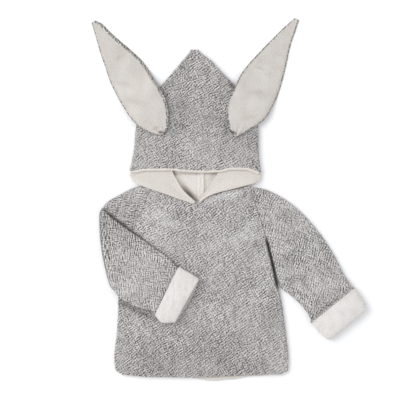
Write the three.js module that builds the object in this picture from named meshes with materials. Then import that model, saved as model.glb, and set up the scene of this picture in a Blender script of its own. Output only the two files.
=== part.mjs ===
// Toddler's pullover hoodie in double knit, marled grey outside and cream inside, laid flat on its back.
// Millimetres. X runs across the chest, Y from the hem to the hood, Z up from the surface it lies on.
// The origin is on that surface, under the middle of the garment. Left and right are the wearer's.

import * as THREE from 'three';

// Driving dimensions
const CLOTH = 2.6; // thickness of the double knit
const SEAM = 0.3; // gap between two pieces that are sewn edge to edge
const REST = 0.8; // gap between two pieces that lie on each other
const BODY_HEIGHT = 7.2; // front and back lying on each other, air included
const HOOD_HEIGHT = 9.6; // the hood holds more air, and its cheeks lie inside it
const SLEEVE_HEIGHT = 7.2;
const FOLD_GAP = 1.2; // room inside the right sleeve's fold
const CUFF_GAP = 0.8; // gap between a turned-back cuff and its sleeve
const EAR_CLOTH = 2.4;
const EAR_DROP = 70; // way out from the hood in which an ear comes down to the surface
const EDGE_ROLL = 2.5; // radius of the rolled edge over the forehead
const EDGE_GAP = 1; // room between that roll and the hood's front
const SEAM_WIDTH = 8; // centre seam inside the hood
const SEAM_RISE = 1.3;

// Body: a row for each level, hem to neck. sideRound is 1 where front and back meet in a side seam.
const BODY_ROWS = [
  { y: -326, rightX: -216, leftX: 111, sideRound: 1 },
  { y: -300, rightX: -219, leftX: 112, sideRound: 1 },
  { y: -262, rightX: -215, leftX: 108, sideRound: 1 },
  { y: -224, rightX: -212, leftX: 103, sideRound: 1 },
  { y: -186, rightX: -211, leftX: 97, sideRound: 1 },
  { y: -140, rightX: -203, leftX: 87, sideRound: 1 },
  { y: -105, rightX: -197, leftX: 79, sideRound: 1 },
  { y: -77, rightX: -188, leftX: 71, sideRound: 0.7 },
  { y: -47, rightX: -176.4, leftX: 60.4, sideRound: 0 },
  { y: -13, rightX: -162.3, leftX: 48.8, sideRound: 0 },
  { y: 21, rightX: -148.2, leftX: 37.2, sideRound: 0 },
];

// Hem and neck lines as offsets in Y from the straight line between their ends, right side to left side.
const HEM_LINE = [
  { across: 0, front: 0, back: 0 },
  { across: 0.05, front: -7.5, back: -6 },
  { across: 0.2, front: -11, back: -8 },
  { across: 0.4, front: -12, back: -12 },
  { across: 0.56, front: -11, back: -18 },
  { across: 0.66, front: -9, back: -15.5 },
  { across: 0.8, front: -6.5, back: -9.5 },
  { across: 0.95, front: -6, back: -5.5 },
  { across: 1, front: 0, back: 0 },
];
const NECK_LINE = [
  { across: 0, front: 1, back: 1 },
  { across: 0.13, front: -7, back: -6 },
  { across: 0.28, front: -17, back: -17 },
  { across: 0.46, front: -29, back: -25 },
  { across: 0.62, front: -14, back: -17 },
  { across: 0.8, front: -4, back: -6 },
  { across: 1, front: 3, back: 1 },
];

// Hood: a row for each level, forehead to point. The back goes on below it to the neck.
const HOOD_ROWS = [
  { y: 56, rightX: -190, leftX: 60, sideRound: 0.3 },
  { y: 72, rightX: -186, leftX: 57, sideRound: 1 },
  { y: 99, rightX: -181, leftX: 55, sideRound: 1 },
  { y: 126, rightX: -179, leftX: 55, sideRound: 1 },
  { y: 150, rightX: -175, leftX: 52, sideRound: 1 },
  { y: 174, rightX: -165, leftX: 43, sideRound: 1 },
  { y: 199, rightX: -147, leftX: 26, sideRound: 1 },
  { y: 219, rightX: -127.5, leftX: 7.5, sideRound: 1 },
  { y: 235, rightX: -113, leftX: -8.5, sideRound: 1 },
  { y: 250, rightX: -100, leftX: -23, sideRound: 1 },
  { y: 265, rightX: -87.5, leftX: -37, sideRound: 1 },
  { y: 279, rightX: -75, leftX: -58, sideRound: 1 },
];
const HOOD_NECK_ROWS = [
  { y: 22.7, rightX: -148, leftX: 37, sideRound: 0 },
  { y: 28.5, rightX: -166, leftX: 49, sideRound: 0 },
  { y: 40, rightX: -180, leftX: 55, sideRound: 0 },
  { y: 53, rightX: -189, leftX: 59, sideRound: 0 },
];
const FOREHEAD_LINE = [
  { across: 0, drop: -2.4 },
  { across: 0.14, drop: 2.1 },
  { across: 0.32, drop: 2.6 },
  { across: 0.43, drop: -0.4 },
  { across: 0.56, drop: -1.6 },
  { across: 0.68, drop: -0.6 },
  { across: 0.78, drop: 4.1 },
  { across: 0.88, drop: 3.6 },
  { across: 1, drop: -4.4 },
];

// Hood cheeks: turned-out lower fronts. edge lies on the neck, inner is the free edge or goes under the forehead.
const RIGHT_CHEEK_ROWS = [
  { edgeX: -190, edgeY: 48, edgeZ: 3.3, innerX: -180, innerY: 58.5, innerZ: 3.4 },
  { edgeX: -184, edgeY: 36.5, edgeZ: 4.6, innerX: -172, innerY: 62, innerZ: 3.1 },
  { edgeX: -171, edgeY: 27.5, edgeZ: 7.9, innerX: -156, innerY: 64, innerZ: 3.1 },
  { edgeX: -143, edgeY: 17, edgeZ: 8, innerX: -134, innerY: 64, innerZ: 3.1 },
  { edgeX: -120, edgeY: 9.5, edgeZ: 8, innerX: -114, innerY: 60, innerZ: 3.3 },
  { edgeX: -102, edgeY: 2.5, edgeZ: 8, innerX: -101, innerY: 42, innerZ: 4.2 },
  { edgeX: -85, edgeY: -3, edgeZ: 8, innerX: -85, innerY: 17, innerZ: 5.4 },
  { edgeX: -67.5, edgeY: -8.5, edgeZ: 8, innerX: -65, innerY: -4, innerZ: 7.6 },
];
const LEFT_CHEEK_ROWS = [
  { edgeX: 60.5, edgeY: 47.5, edgeZ: 3.3, innerX: 50.5, innerY: 58.5, innerZ: 3.4 },
  { edgeX: 57, edgeY: 37.5, edgeZ: 4.6, innerX: 43, innerY: 62, innerZ: 3.1 },
  { edgeX: 48, edgeY: 31, edgeZ: 7.9, innerX: 28, innerY: 64, innerZ: 3.1 },
  { edgeX: 26, edgeY: 25, edgeZ: 8, innerX: 8, innerY: 64, innerZ: 3.1 },
  { edgeX: 2, edgeY: 18.5, edgeZ: 8, innerX: -13, innerY: 60, innerZ: 3.3 },
  { edgeX: -22, edgeY: 12.5, edgeZ: 8, innerX: -28, innerY: 41, innerZ: 4.2 },
  { edgeX: -40, edgeY: 5.5, edgeZ: 8, innerX: -43, innerY: 20, innerZ: 5.4 },
  { edgeX: -57, edgeY: -6, edgeZ: 8, innerX: -58, innerY: -1, innerZ: 7.6 },
];

// Left sleeve, laid out: armhole to cuff. inner is the underarm side, rise its height off the surface.
const LEFT_SLEEVE_ROWS = [
  { innerX: 71.6, innerY: -76, outerX: 38.2, outerY: 23, rise: 0, puff: 0 },
  { innerX: 77.5, innerY: -92, outerX: 67, outerY: 19, rise: 0, puff: 1.5 },
  { innerX: 80.4, innerY: -107, outerX: 102, outerY: 2, rise: 0, puff: 3 },
  { innerX: 83.9, innerY: -122, outerX: 133, outerY: -22, rise: 0, puff: 4 },
  { innerX: 88.2, innerY: -140, outerX: 159, outerY: -50, rise: 0, puff: 4 },
  { innerX: 92.2, innerY: -156, outerX: 182, outerY: -80, rise: 0, puff: 4 },
  { innerX: 98.5, innerY: -169, outerX: 201, outerY: -111, rise: 0, puff: 4 },
  { innerX: 118, innerY: -184, outerX: 215, outerY: -139, rise: 0.6, puff: 3.5 },
  { innerX: 141, innerY: -207, outerX: 225.5, outerY: -156, rise: 2, puff: 2.5 },
  { innerX: 156, innerY: -229.5, outerX: 232, outerY: -168, rise: 3.5, puff: 0.5 },
  { innerX: 171, innerY: -248, outerX: 246.5, outerY: -188, rise: 3.5, puff: 0.4 },
  { innerX: 187, innerY: -264.5, outerX: 257.8, outerY: -206.5, rise: 3.5, puff: 0.4 },
];
const CUFF_ROWS = 2; // rows at a sleeve's end that its turned-back cuff covers
// Right sleeve before its fold, and its forearm after it, which lies on the front.
const RIGHT_UPPER_ROWS = [
  { innerX: -188.9, innerY: -76, outerX: -149, outerY: 22.5, puff: 0 },
  { innerX: -198.5, innerY: -96, outerX: -171.5, outerY: 24.5, puff: 0.6 },
  { innerX: -203.5, innerY: -118, outerX: -193, outerY: 17, puff: 0.6 },
  { innerX: -207.5, innerY: -137, outerX: -216, outerY: 4.5, puff: 0.4 },
  { innerX: -211.5, innerY: -154, outerX: -233, outerY: -6, puff: 0 },
];
const FOLD = { innerX: -218, innerY: -173, outerX: -240.5, outerY: -17, bow: 6, corner: 7 };
const FOLD_STEPS = 7;
const RIGHT_FOREARM_ROWS = [
  { innerX: -207, innerY: -189, outerX: -222, outerY: -36, rise: 8.4, puff: 1 },
  { innerX: -192, innerY: -197, outerX: -192, outerY: -58, rise: 8.4, puff: 2.5 },
  { innerX: -177, innerY: -204, outerX: -165, outerY: -76, rise: 8.4, puff: 3.5 },
  { innerX: -162, innerY: -209, outerX: -139, outerY: -94.5, rise: 8.5, puff: 3.5 },
  { innerX: -149, innerY: -211, outerX: -116, outerY: -110, rise: 9.6, puff: 2.5 },
  { innerX: -140.5, innerY: -217, outerX: -97.5, outerY: -130, rise: 11.2, puff: 1 },
  { innerX: -126, innerY: -230.5, outerX: -79.5, outerY: -141, rise: 11.2, puff: 0.6 },
  { innerX: -106, innerY: -232, outerX: -60.5, outerY: -151, rise: 11.2, puff: 0.6 },
];

// Ears: base to tip, outer edge away from the hood's middle.
const RIGHT_EAR_ROWS = [
  { outerX: -134, outerY: 121.5, innerX: -122, innerY: 123.5 },
  { outerX: -148, outerY: 125, innerX: -117, innerY: 133 },
  { outerX: -162, outerY: 132.5, innerX: -115, innerY: 150 },
  { outerX: -176, outerY: 141.5, innerX: -116.5, innerY: 171 },
  { outerX: -190, outerY: 157.5, innerX: -123, innerY: 195 },
  { outerX: -209, outerY: 188, innerX: -142.5, innerY: 227 },
  { outerX: -226, outerY: 221.5, innerX: -163.5, innerY: 260 },
  { outerX: -238, outerY: 257, innerX: -190.5, innerY: 286 },
  { outerX: -246, outerY: 280, innerX: -209.5, innerY: 302 },
  { outerX: -252.5, outerY: 303, innerX: -228, innerY: 319 },
  { outerX: -258, outerY: 322, innerX: -242, innerY: 333 },
  { outerX: -262, outerY: 335, innerX: -255, innerY: 339.5 },
];
const LEFT_EAR_ROWS = [
  { outerX: 15, outerY: 118, innerX: 8, innerY: 119.5 },
  { outerX: 26, outerY: 124.5, innerX: 1, innerY: 133 },
  { outerX: 40, outerY: 133.5, innerX: -3, innerY: 150 },
  { outerX: 54, outerY: 142, innerX: -4.5, innerY: 169 },
  { outerX: 67, outerY: 152, innerX: -1.5, innerY: 187 },
  { outerX: 79, outerY: 170.5, innerX: 8, innerY: 207 },
  { outerX: 91, outerY: 196, innerX: 19, innerY: 232 },
  { outerX: 100, outerY: 224, innerX: 36.5, innerY: 257 },
  { outerX: 108, outerY: 256, innerX: 60.5, innerY: 283 },
  { outerX: 115.5, outerY: 291, innerX: 86.5, innerY: 309.5 },
  { outerX: 124.5, outerY: 318, innerX: 106.5, innerY: 329 },
  { outerX: 131.5, outerY: 339.5, innerX: 124, innerY: 344 },
];
const EAR_PLEATS = [
  { side: 0.3, rise: 2.2, width: 0.12, reach: 3.4 },
  { side: 0.62, rise: 1.8, width: 0.1, reach: 2.8 },
];

// Largest soft ridges and troughs of the front, from one end to the other.
const FRONT_FOLDS = [
  { fromX: 58, fromY: -40, toX: -5, toY: -95, width: 16, rise: 1.6 },
  { fromX: 82, fromY: -128, toX: 40, toY: -205, width: 14, rise: 1.2 },
  { fromX: -150, fromY: -20, toX: -100, toY: -60, width: 15, rise: 1.2 },
  { fromX: -208, fromY: -262, toX: -120, toY: -250, width: 16, rise: 1.1 },
  { fromX: 20, fromY: -325, toX: 30, toY: -270, width: 15, rise: 1 },
];
const NECK_RIDGE = { from: 0.5, to: 0.96, back: 9, width: 7, rise: 2 };

const MARL = { color: 0x9f9d9b, roughness: 0.95, metalness: 0 };
const CREAM = { color: 0xdcd6ce, roughness: 0.95, metalness: 0 };

const smooth = (low, high, value) => THREE.MathUtils.smoothstep(value, low, high);
const mix = THREE.MathUtils.lerp;

// Value of a column at place t, where row k is at t = k, on a curve through the rows.
function at(rows, column, t) {
  const last = rows.length - 1;
  const k = Math.min(Math.floor(t), last - 1);
  const f = t - k;
  const [p, q, r, s] = [k - 1, k, k + 1, k + 2].map((i) => rows[Math.max(0, Math.min(last, i))][column]);
  const bend = (2 * p - 5 * q + 4 * r - s) * f + (3 * q - p - 3 * r + s) * f * f;
  return q + 0.5 * f * (r - p + bend);
}

// Value of a column where the column "across" reaches the given share of the width.
function across(rows, column, share) {
  const last = rows.length - 1;
  let k = 0;
  while (k < last - 1 && share > rows[k + 1].across) k += 1;
  const f = (share - rows[k].across) / (rows[k + 1].across - rows[k].across);
  return mix(rows[k][column], rows[k + 1][column], smooth(0, 1, f));
}

// Closed body between an outer and an inner grid of points. A ring's rows close on themselves.
function wall(outer, inner, ring = false) {
  const rows = outer.length;
  const columns = outer[0].length;
  const points = [...outer.flat(), ...inner.flat()];
  const index = [];
  const put = (a, b, c, d) => index.push(a, b, c, a, c, d);
  const id = (face, i, j) => face * rows * columns + i * columns + (j % columns);
  const spans = ring ? columns : columns - 1;
  for (let j = 0; j < spans; j += 1) {
    for (let i = 0; i < rows - 1; i += 1) {
      put(id(0, i, j), id(0, i, j + 1), id(0, i + 1, j + 1), id(0, i + 1, j));
      put(id(1, i, j), id(1, i + 1, j), id(1, i + 1, j + 1), id(1, i, j + 1));
    }
    put(id(0, 0, j + 1), id(0, 0, j), id(1, 0, j), id(1, 0, j + 1));
    put(id(0, rows - 1, j), id(0, rows - 1, j + 1), id(1, rows - 1, j + 1), id(1, rows - 1, j));
  }
  if (!ring) {
    for (let i = 0; i < rows - 1; i += 1) {
      put(id(0, i, 0), id(0, i + 1, 0), id(1, i + 1, 0), id(1, i, 0));
      const j = columns - 1;
      put(id(0, i + 1, j), id(0, i, j), id(1, i, j), id(1, i + 1, j));
    }
  }
  return solid(points, index);
}

// Closed body swept by a closed profile round a closed path.
function loop(grid) {
  const rows = grid.length;
  const columns = grid[0].length;
  const index = [];
  for (let i = 0; i < rows; i += 1) {
    for (let j = 0; j < columns; j += 1) {
      const [a, b] = [i * columns + j, i * columns + ((j + 1) % columns)];
      const [c, d] = [((i + 1) % rows) * columns + ((j + 1) % columns), ((i + 1) % rows) * columns + j];
      index.push(a, b, c, a, c, d);
    }
  }
  return solid(grid.flat(), index);
}

// Geometry of a closed body, turned so that its faces point out.
function solid(points, index) {
  const volume = new THREE.Vector3();
  let total = 0;
  for (let k = 0; k < index.length; k += 3) {
    total += points[index[k]].dot(volume.crossVectors(points[index[k + 1]], points[index[k + 2]]));
  }
  const geometry = new THREE.BufferGeometry().setFromPoints(points);
  geometry.setIndex(total > 0 ? index : index.slice().reverse());
  geometry.computeVertexNormals();
  return geometry;
}

// Places across a flat-lying half shell: the two rims as angles, the middle as shares of the way over.
const RIM_ANGLES = [0, 0.35, 0.7, 1];
function shellPlaces(middles) {
  const rim = RIM_ANGLES.map((share) => ({ side: -1, angle: (share * Math.PI) / 2 }));
  const middle = Array.from({ length: middles }, (_, k) => ({ side: 0, share: (k + 1) / (middles + 1) }));
  return [...rim, ...middle, ...rim.map((place) => ({ side: 1, angle: place.angle })).reverse()];
}

// One face of a half shell. line gives the row's ends and shapes, lift moves a point up or down.
function shellFace({ stations, middles, height, inset, top, line, lift }) {
  const radius = height / 2;
  const inner = radius - inset;
  return Array.from({ length: stations + 1 }, (_, i) => {
    const row = line(i / stations);
    const tip = row.tipAngle === undefined ? Math.PI / 2 : row.tipAngle;
    return shellPlaces(middles).map((place) => {
      const reach = mix(radius, inner, row.round);
      let x;
      let bulge = 1;
      if (place.side) {
        const edge = place.side < 0 ? row.from : row.to;
        x = edge - place.side * (radius - reach * Math.cos(place.angle));
        bulge = Math.sin(place.angle);
      } else {
        x = mix(row.from + radius, row.to - radius, place.share);
      }
      const share = (x - row.from) / (row.to - row.from);
      const y = row.y(share) - row.tipReach + inner * Math.cos(tip) * (row.tipReach ? 1 : 0);
      const round = SEAM / 2 + mix(inner - SEAM / 2, (inner - SEAM / 2) * bulge, row.round) * Math.sin(tip);
      const raised = lift ? lift(x, y, share, i / stations) * bulge * Math.sin(tip) : 0;
      return new THREE.Vector3(x, y, radius + (top ? round : -round) + raised);
    });
  });
}

function shell(options) {
  return wall(shellFace({ ...options, inset: 0 }), shellFace({ ...options, inset: CLOTH }));
}

// Ring of a flattened tube: its places go over the top and back underneath.
function ringPlaces(middles) {
  const arc = [-0.5, -0.25, 0, 0.25, 0.5];
  const straight = Array.from({ length: middles }, (_, k) => (k + 1) / (middles + 1));
  return [
    ...straight.map((share) => ({ share, up: 1 })),
    ...arc.map((turn) => ({ end: 1, turn: -turn * Math.PI })),
    ...straight.map((share) => ({ share: 1 - share, up: -1 })),
    ...arc.map((turn) => ({ end: 0, turn: turn * Math.PI })),
  ];
}

// Point of a tube's ring, at a distance out from the tube's outer face.
function ringPoint(section, place, out) {
  const radius = SLEEVE_HEIGHT / 2;
  const along = section.outer.clone().sub(section.inner).normalize();
  const start = section.inner.clone().addScaledVector(along, radius);
  const stop = section.outer.clone().addScaledVector(along, -radius);
  if (place.up) {
    const middle = 1 - (2 * place.share - 1) ** 2;
    const puff = place.up * Math.sign(section.puff) > 0 ? section.puff * middle : 0;
    return start
      .lerp(stop, place.share)
      .addScaledVector(section.normal, place.up * (radius + out) + puff)
      .addScaledVector(section.outward, section.bow * middle);
  }
  const centre = place.end ? stop : start;
  const side = place.end ? 1 : -1;
  return centre
    .addScaledVector(along, side * (radius + out) * Math.cos(place.turn))
    .addScaledVector(section.normal, (radius + out) * Math.sin(place.turn));
}

function section(rows, t) {
  const get = (column) => at(rows, column, t);
  const turn = get('turn');
  const height = Math.max(0, get('rise')) + SLEEVE_HEIGHT / 2;
  const inner = new THREE.Vector3(get('innerX'), get('innerY'), height);
  const outer = new THREE.Vector3(get('outerX'), get('outerY'), height);
  const along = outer.clone().sub(inner).normalize();
  const outward = new THREE.Vector3(0, 0, 1).cross(along);
  const normal = new THREE.Vector3(0, 0, Math.cos(turn)).addScaledVector(outward, -Math.sin(turn));
  return { inner, outer, normal, outward, bow: get('bow'), puff: get('puff') * Math.cos(turn) };
}

const RING_MIDDLES = 6;
function tube(sections, out) {
  return sections.map((each) => ringPlaces(RING_MIDDLES).map((place) => ringPoint(each, place, out)));
}

// Turned-back cuff: a wall outside the sleeve's end, which rolls over the mouth to meet that end.
const CUFF_STATIONS = 4;
const ROLL_STEPS = 5;
function cuff(rows) {
  const last = rows.length - 1;
  const first = last - CUFF_ROWS;
  const mouth = section(rows, last);
  const middle = mouth.inner.clone().add(mouth.outer).multiplyScalar(0.5);
  const before = section(rows, last - 1);
  const axis = middle.clone().sub(before.inner.clone().add(before.outer).multiplyScalar(0.5)).normalize();
  const gap = CUFF_GAP;
  const profile = [];
  for (let k = 0; k <= CUFF_STATIONS; k += 1) {
    profile.push({ t: mix(first, last, k / CUFF_STATIONS), out: gap + CLOTH, ahead: 0 });
  }
  for (let k = 1; k < ROLL_STEPS; k += 1) {
    const angle = (k * Math.PI) / ROLL_STEPS;
    const radius = gap / 2 + CLOTH;
    profile.push({ t: last, out: gap / 2 + radius * Math.cos(angle), ahead: SEAM + radius * Math.sin(angle) });
  }
  profile.push({ t: last, out: -CLOTH, ahead: SEAM }, { t: last, out: 0, ahead: SEAM });
  profile.push({ t: last, out: gap / 2, ahead: SEAM + gap / 2 }, { t: last, out: gap, ahead: SEAM });
  for (let k = CUFF_STATIONS; k >= 0; k -= 1) {
    profile.push({ t: mix(first, last, k / CUFF_STATIONS), out: gap, ahead: 0 });
  }
  const places = ringPlaces(RING_MIDDLES);
  const grid = profile.map(({ t, out, ahead }) => {
    const each = section(rows, t);
    return places.map((place) => ringPoint(each, place, out).addScaledVector(axis, ahead));
  });
  return loop(grid);
}

// Height that the front's folds add.
function foldLift(x, y) {
  let total = 0;
  for (const { fromX, fromY, toX, toY, width, rise } of FRONT_FOLDS) {
    const [dx, dy] = [toX - fromX, toY - fromY];
    const along = ((x - fromX) * dx + (y - fromY) * dy) / (dx * dx + dy * dy);
    const off = ((x - fromX) * dy - (y - fromY) * dx) / Math.hypot(dx, dy);
    const ends = Math.sin(Math.PI * THREE.MathUtils.clamp(along, 0, 1));
    total += rise * ends * Math.exp(-((off / width) ** 2));
  }
  return total;
}

const BODY_STATIONS = 16;
const BODY_MIDDLES = 11;
const HEM_REACH = 0.3; // share of the body's length in which the hem's line dies out
const NECK_START = 0.62; // share from which the neck's line sets in
function bodyLine(side) {
  return (share) => {
    const t = share * (BODY_ROWS.length - 1);
    const [from, to] = [at(BODY_ROWS, 'rightX', t), at(BODY_ROWS, 'leftX', t)];
    const level = at(BODY_ROWS, 'y', t);
    const hem = 1 - smooth(0, HEM_REACH, share);
    const neck = smooth(NECK_START, 1, share);
    const y = (over) => level + hem * across(HEM_LINE, side, over) + neck * across(NECK_LINE, side, over);
    return { from, to, y, round: THREE.MathUtils.clamp(at(BODY_ROWS, 'sideRound', t), 0, 1), tipReach: 0 };
  };
}

// Front: besides its folds it has a soft roll along the left half of the neckline.
const RIDGE_END = 0.08;
function frontLift(x, y, share, level) {
  const { from, to, back, width, rise } = NECK_RIDGE;
  const neckY = BODY_ROWS.at(-1).y + across(NECK_LINE, 'front', share);
  const ends = smooth(from, from + RIDGE_END, share) * (1 - smooth(to - RIDGE_END, to, share));
  const roll = rise * ends * Math.exp(-(((neckY - back - y) / width) ** 2));
  return foldLift(x, y) + roll * smooth(0.7, 0.8, level);
}

// Hood lines: the last stations of both halves curl together at the point.
const HOOD_STATIONS = 15;
const HOOD_MIDDLES = 9;
const TIP_STATIONS = 3;
function hoodLine(rows, low) {
  const straight = HOOD_STATIONS - TIP_STATIONS;
  return (share) => {
    const station = Math.round(share * HOOD_STATIONS);
    const t = Math.min(1, station / straight) * (rows.length - 1);
    const curl = Math.max(0, station - straight) / TIP_STATIONS;
    const tipAngle = ((1 - curl) * Math.PI) / 2;
    const radius = HOOD_HEIGHT / 2;
    const [from, to] = [at(rows, 'rightX', t), at(rows, 'leftX', t)];
    const y = (over) => at(rows, 'y', t) + low(over, t) + (curl > 0 ? radius : 0);
    const round = THREE.MathUtils.clamp(at(rows, 'sideRound', t), 0, 1);
    return { from, to, y, round, tipAngle, tipReach: curl > 0 ? radius : 0 };
  };
}

// Offset of a row of points near the forehead and the neck, which dies out in the rows above.
const FOREHEAD_REACH = 2;
const NECK_REACH = 4;
function foreheadDrop(over, t) {
  const drop = across(FOREHEAD_LINE, 'drop', THREE.MathUtils.clamp(over, 0, 1));
  return drop * (1 - smooth(0, FOREHEAD_REACH, t));
}
function neckDrop(over, t) {
  const drop = across(NECK_LINE, 'back', THREE.MathUtils.clamp(over, 0, 1));
  return drop * (1 - smooth(0, NECK_REACH, t));
}

// Height of the hood's top face, and of what lies beside it on its way down to the surface.
function restHeight(x, y) {
  let k = 0;
  while (k < HOOD_ROWS.length - 2 && y > HOOD_ROWS[k + 1].y) k += 1;
  const t = k + THREE.MathUtils.clamp((y - HOOD_ROWS[k].y) / (HOOD_ROWS[k + 1].y - HOOD_ROWS[k].y), 0, 1);
  const beyondTip = Math.max(0, y - HOOD_ROWS.at(-1).y);
  const beside = Math.max(at(HOOD_ROWS, 'rightX', t) - x, x - at(HOOD_ROWS, 'leftX', t), 0);
  const away = Math.hypot(beside, beyondTip);
  return (HOOD_HEIGHT + REST) * (1 - smooth(0, EAR_DROP, away));
}

// Ear: one layer of the knit, gathered into pleats where it is sewn to the hood.
const PLEAT_START = 0.2;
const EAR_STATIONS = 18;
const EAR_COLUMNS = 7;
function ear(rows) {
  const faces = [[], []];
  for (let i = 0; i <= EAR_STATIONS; i += 1) {
    const t = (i / EAR_STATIONS) * (rows.length - 1);
    faces.forEach((face) => face.push([]));
    for (let j = 0; j <= EAR_COLUMNS; j += 1) {
      const share = j / EAR_COLUMNS;
      const x = mix(at(rows, 'outerX', t), at(rows, 'innerX', t), share);
      const y = mix(at(rows, 'outerY', t), at(rows, 'innerY', t), share);
      let low = restHeight(x, y);
      for (const { side, rise, width, reach } of EAR_PLEATS) {
        low += rise * Math.exp(-(((share - side) / width) ** 2)) * (1 - smooth(PLEAT_START, reach, t));
      }
      faces[0][i].push(new THREE.Vector3(x, y, low + EAR_CLOTH));
      faces[1][i].push(new THREE.Vector3(x, y, low));
    }
  }
  return wall(faces[0], faces[1]);
}

// Cheek: it leaves the neck's height and goes down under the forehead between two shares of its width.
const CHEEK_STATIONS = 14;
const CHEEK_COLUMNS = 6;
const CHEEK_DIP = [0.08, 0.5];
function cheek(rows) {
  const faces = [[], []];
  for (let i = 0; i <= CHEEK_STATIONS; i += 1) {
    const t = (i / CHEEK_STATIONS) * (rows.length - 1);
    faces.forEach((face) => face.push([]));
    for (let j = 0; j <= CHEEK_COLUMNS; j += 1) {
      const share = j / CHEEK_COLUMNS;
      const x = mix(at(rows, 'edgeX', t), at(rows, 'innerX', t), share);
      const y = mix(at(rows, 'edgeY', t), at(rows, 'innerY', t), share);
      const low = mix(at(rows, 'edgeZ', t), at(rows, 'innerZ', t), smooth(...CHEEK_DIP, share));
      faces[0][i].push(new THREE.Vector3(x, y, low + CLOTH));
      faces[1][i].push(new THREE.Vector3(x, y, low));
    }
  }
  return wall(faces[0], faces[1]);
}

// Rolled edge over the forehead: a thin roll just in front of the hood's front edge.
const ROLL_SIDES = 8;
const ROLL_POINTS = 17;
const ROLL_LENGTHS = 28;
const ROLL_SPAN = [0.025, 0.975]; // where it starts and ends, as shares of the forehead's width
function foreheadRoll() {
  const { rightX, leftX, y } = HOOD_ROWS[0];
  const height = HOOD_HEIGHT - EDGE_ROLL / 6;
  const points = Array.from({ length: ROLL_POINTS }, (_, k) => {
    const over = mix(...ROLL_SPAN, k / (ROLL_POINTS - 1));
    const edge = y + foreheadDrop(over, 0) - EDGE_ROLL - EDGE_GAP;
    return new THREE.Vector3(mix(rightX, leftX, over), edge, height);
  });
  const sides = Array.from({ length: ROLL_SIDES }, (_, k) => {
    const angle = (k / ROLL_SIDES) * 2 * Math.PI;
    return new THREE.Vector2(EDGE_ROLL * Math.cos(angle), EDGE_ROLL * Math.sin(angle));
  });
  const path = new THREE.CatmullRomCurve3(points);
  const sweep = { steps: ROLL_LENGTHS, bevelEnabled: false, extrudePath: path };
  return new THREE.ExtrudeGeometry(new THREE.Shape(sides), sweep);
}

// Centre seam inside the hood's back, above the neck.
const SEAM_LINE = { x: -52, low: 6, high: 120 };
function hoodSeam() {
  const { x, low, high } = SEAM_LINE;
  const geometry = new THREE.BoxGeometry(SEAM_WIDTH, high - low, SEAM_RISE);
  return geometry.translate(x, (low + high) / 2, CLOTH + SEAM + SEAM_RISE / 2);
}

// Rows of a whole sleeve, with the fold's own rows worked out between its two stretches.
function rightSleeveRows() {
  const radius = (SLEEVE_HEIGHT + FOLD_GAP) / 2;
  const along = new THREE.Vector2(FOLD.outerX - FOLD.innerX, FOLD.outerY - FOLD.innerY).normalize();
  const folds = Array.from({ length: FOLD_STEPS + 1 }, (_, k) => {
    const turn = (k / FOLD_STEPS) * Math.PI;
    const out = radius * Math.sin(turn);
    const inward = FOLD.corner * Math.sin(turn) ** 2;
    return {
      innerX: FOLD.innerX - along.y * out + along.x * inward,
      innerY: FOLD.innerY + along.x * out + along.y * inward,
      outerX: FOLD.outerX - along.y * out - along.x * inward,
      outerY: FOLD.outerY + along.x * out - along.y * inward,
      rise: radius * (1 - Math.cos(turn)),
      puff: 0,
      bow: FOLD.bow * Math.sin(turn),
      turn,
    };
  });
  const upper = RIGHT_UPPER_ROWS.map((row) => ({ ...row, rise: 0, turn: 0, bow: 0 }));
  const forearm = RIGHT_FOREARM_ROWS.map((row) => ({ ...row, turn: Math.PI, bow: 0 }));
  return [...upper, ...folds, ...forearm];
}

const leftRows = LEFT_SLEEVE_ROWS.map((row) => ({ ...row, turn: 0, bow: 0 }));
const rightRows = rightSleeveRows();

function sleeve(rows, stepsPerRow) {
  const count = (rows.length - 1) * stepsPerRow;
  const sections = Array.from({ length: count + 1 }, (_, k) => section(rows, k / stepsPerRow));
  return wall(tube(sections, 0), tube(sections, -CLOTH), true);
}

const hoodie = new THREE.Group();
function add(name, geometry, look) {
  const mesh = new THREE.Mesh(geometry, new THREE.MeshStandardMaterial(look));
  mesh.name = name;
  hoodie.add(mesh);
}

const bodyShell = { stations: BODY_STATIONS, middles: BODY_MIDDLES, height: BODY_HEIGHT };
add('front', shell({ ...bodyShell, top: true, line: bodyLine('front'), lift: frontLift }), MARL);
add('back', shell({ ...bodyShell, top: false, line: bodyLine('back') }), MARL);

const hoodShell = { stations: HOOD_STATIONS, middles: HOOD_MIDDLES, height: HOOD_HEIGHT };
add('hood_front', shell({ ...hoodShell, top: true, line: hoodLine(HOOD_ROWS, foreheadDrop) }), MARL);
const hoodBackRows = [...HOOD_NECK_ROWS, ...HOOD_ROWS.slice(1)];
add('hood_back', shell({ ...hoodShell, top: false, line: hoodLine(hoodBackRows, neckDrop) }), MARL);
add('hood_edge', foreheadRoll(), CREAM);
add('hood_seam', hoodSeam(), CREAM);
add('cheek_right', cheek(RIGHT_CHEEK_ROWS), CREAM);
add('cheek_left', cheek(LEFT_CHEEK_ROWS), CREAM);

add('sleeve_left', sleeve(leftRows, 2), MARL);
add('cuff_left', cuff(leftRows), CREAM);
add('sleeve_right', sleeve(rightRows, 1), MARL);
add('cuff_right', cuff(rightRows), CREAM);

add('ear_right', ear(RIGHT_EAR_ROWS), CREAM);
add('ear_left', ear(LEFT_EAR_ROWS), CREAM);

export default hoodie;
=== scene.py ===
import logging
import math
from dataclasses import dataclass
from enum import Enum
from typing import Callable

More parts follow.
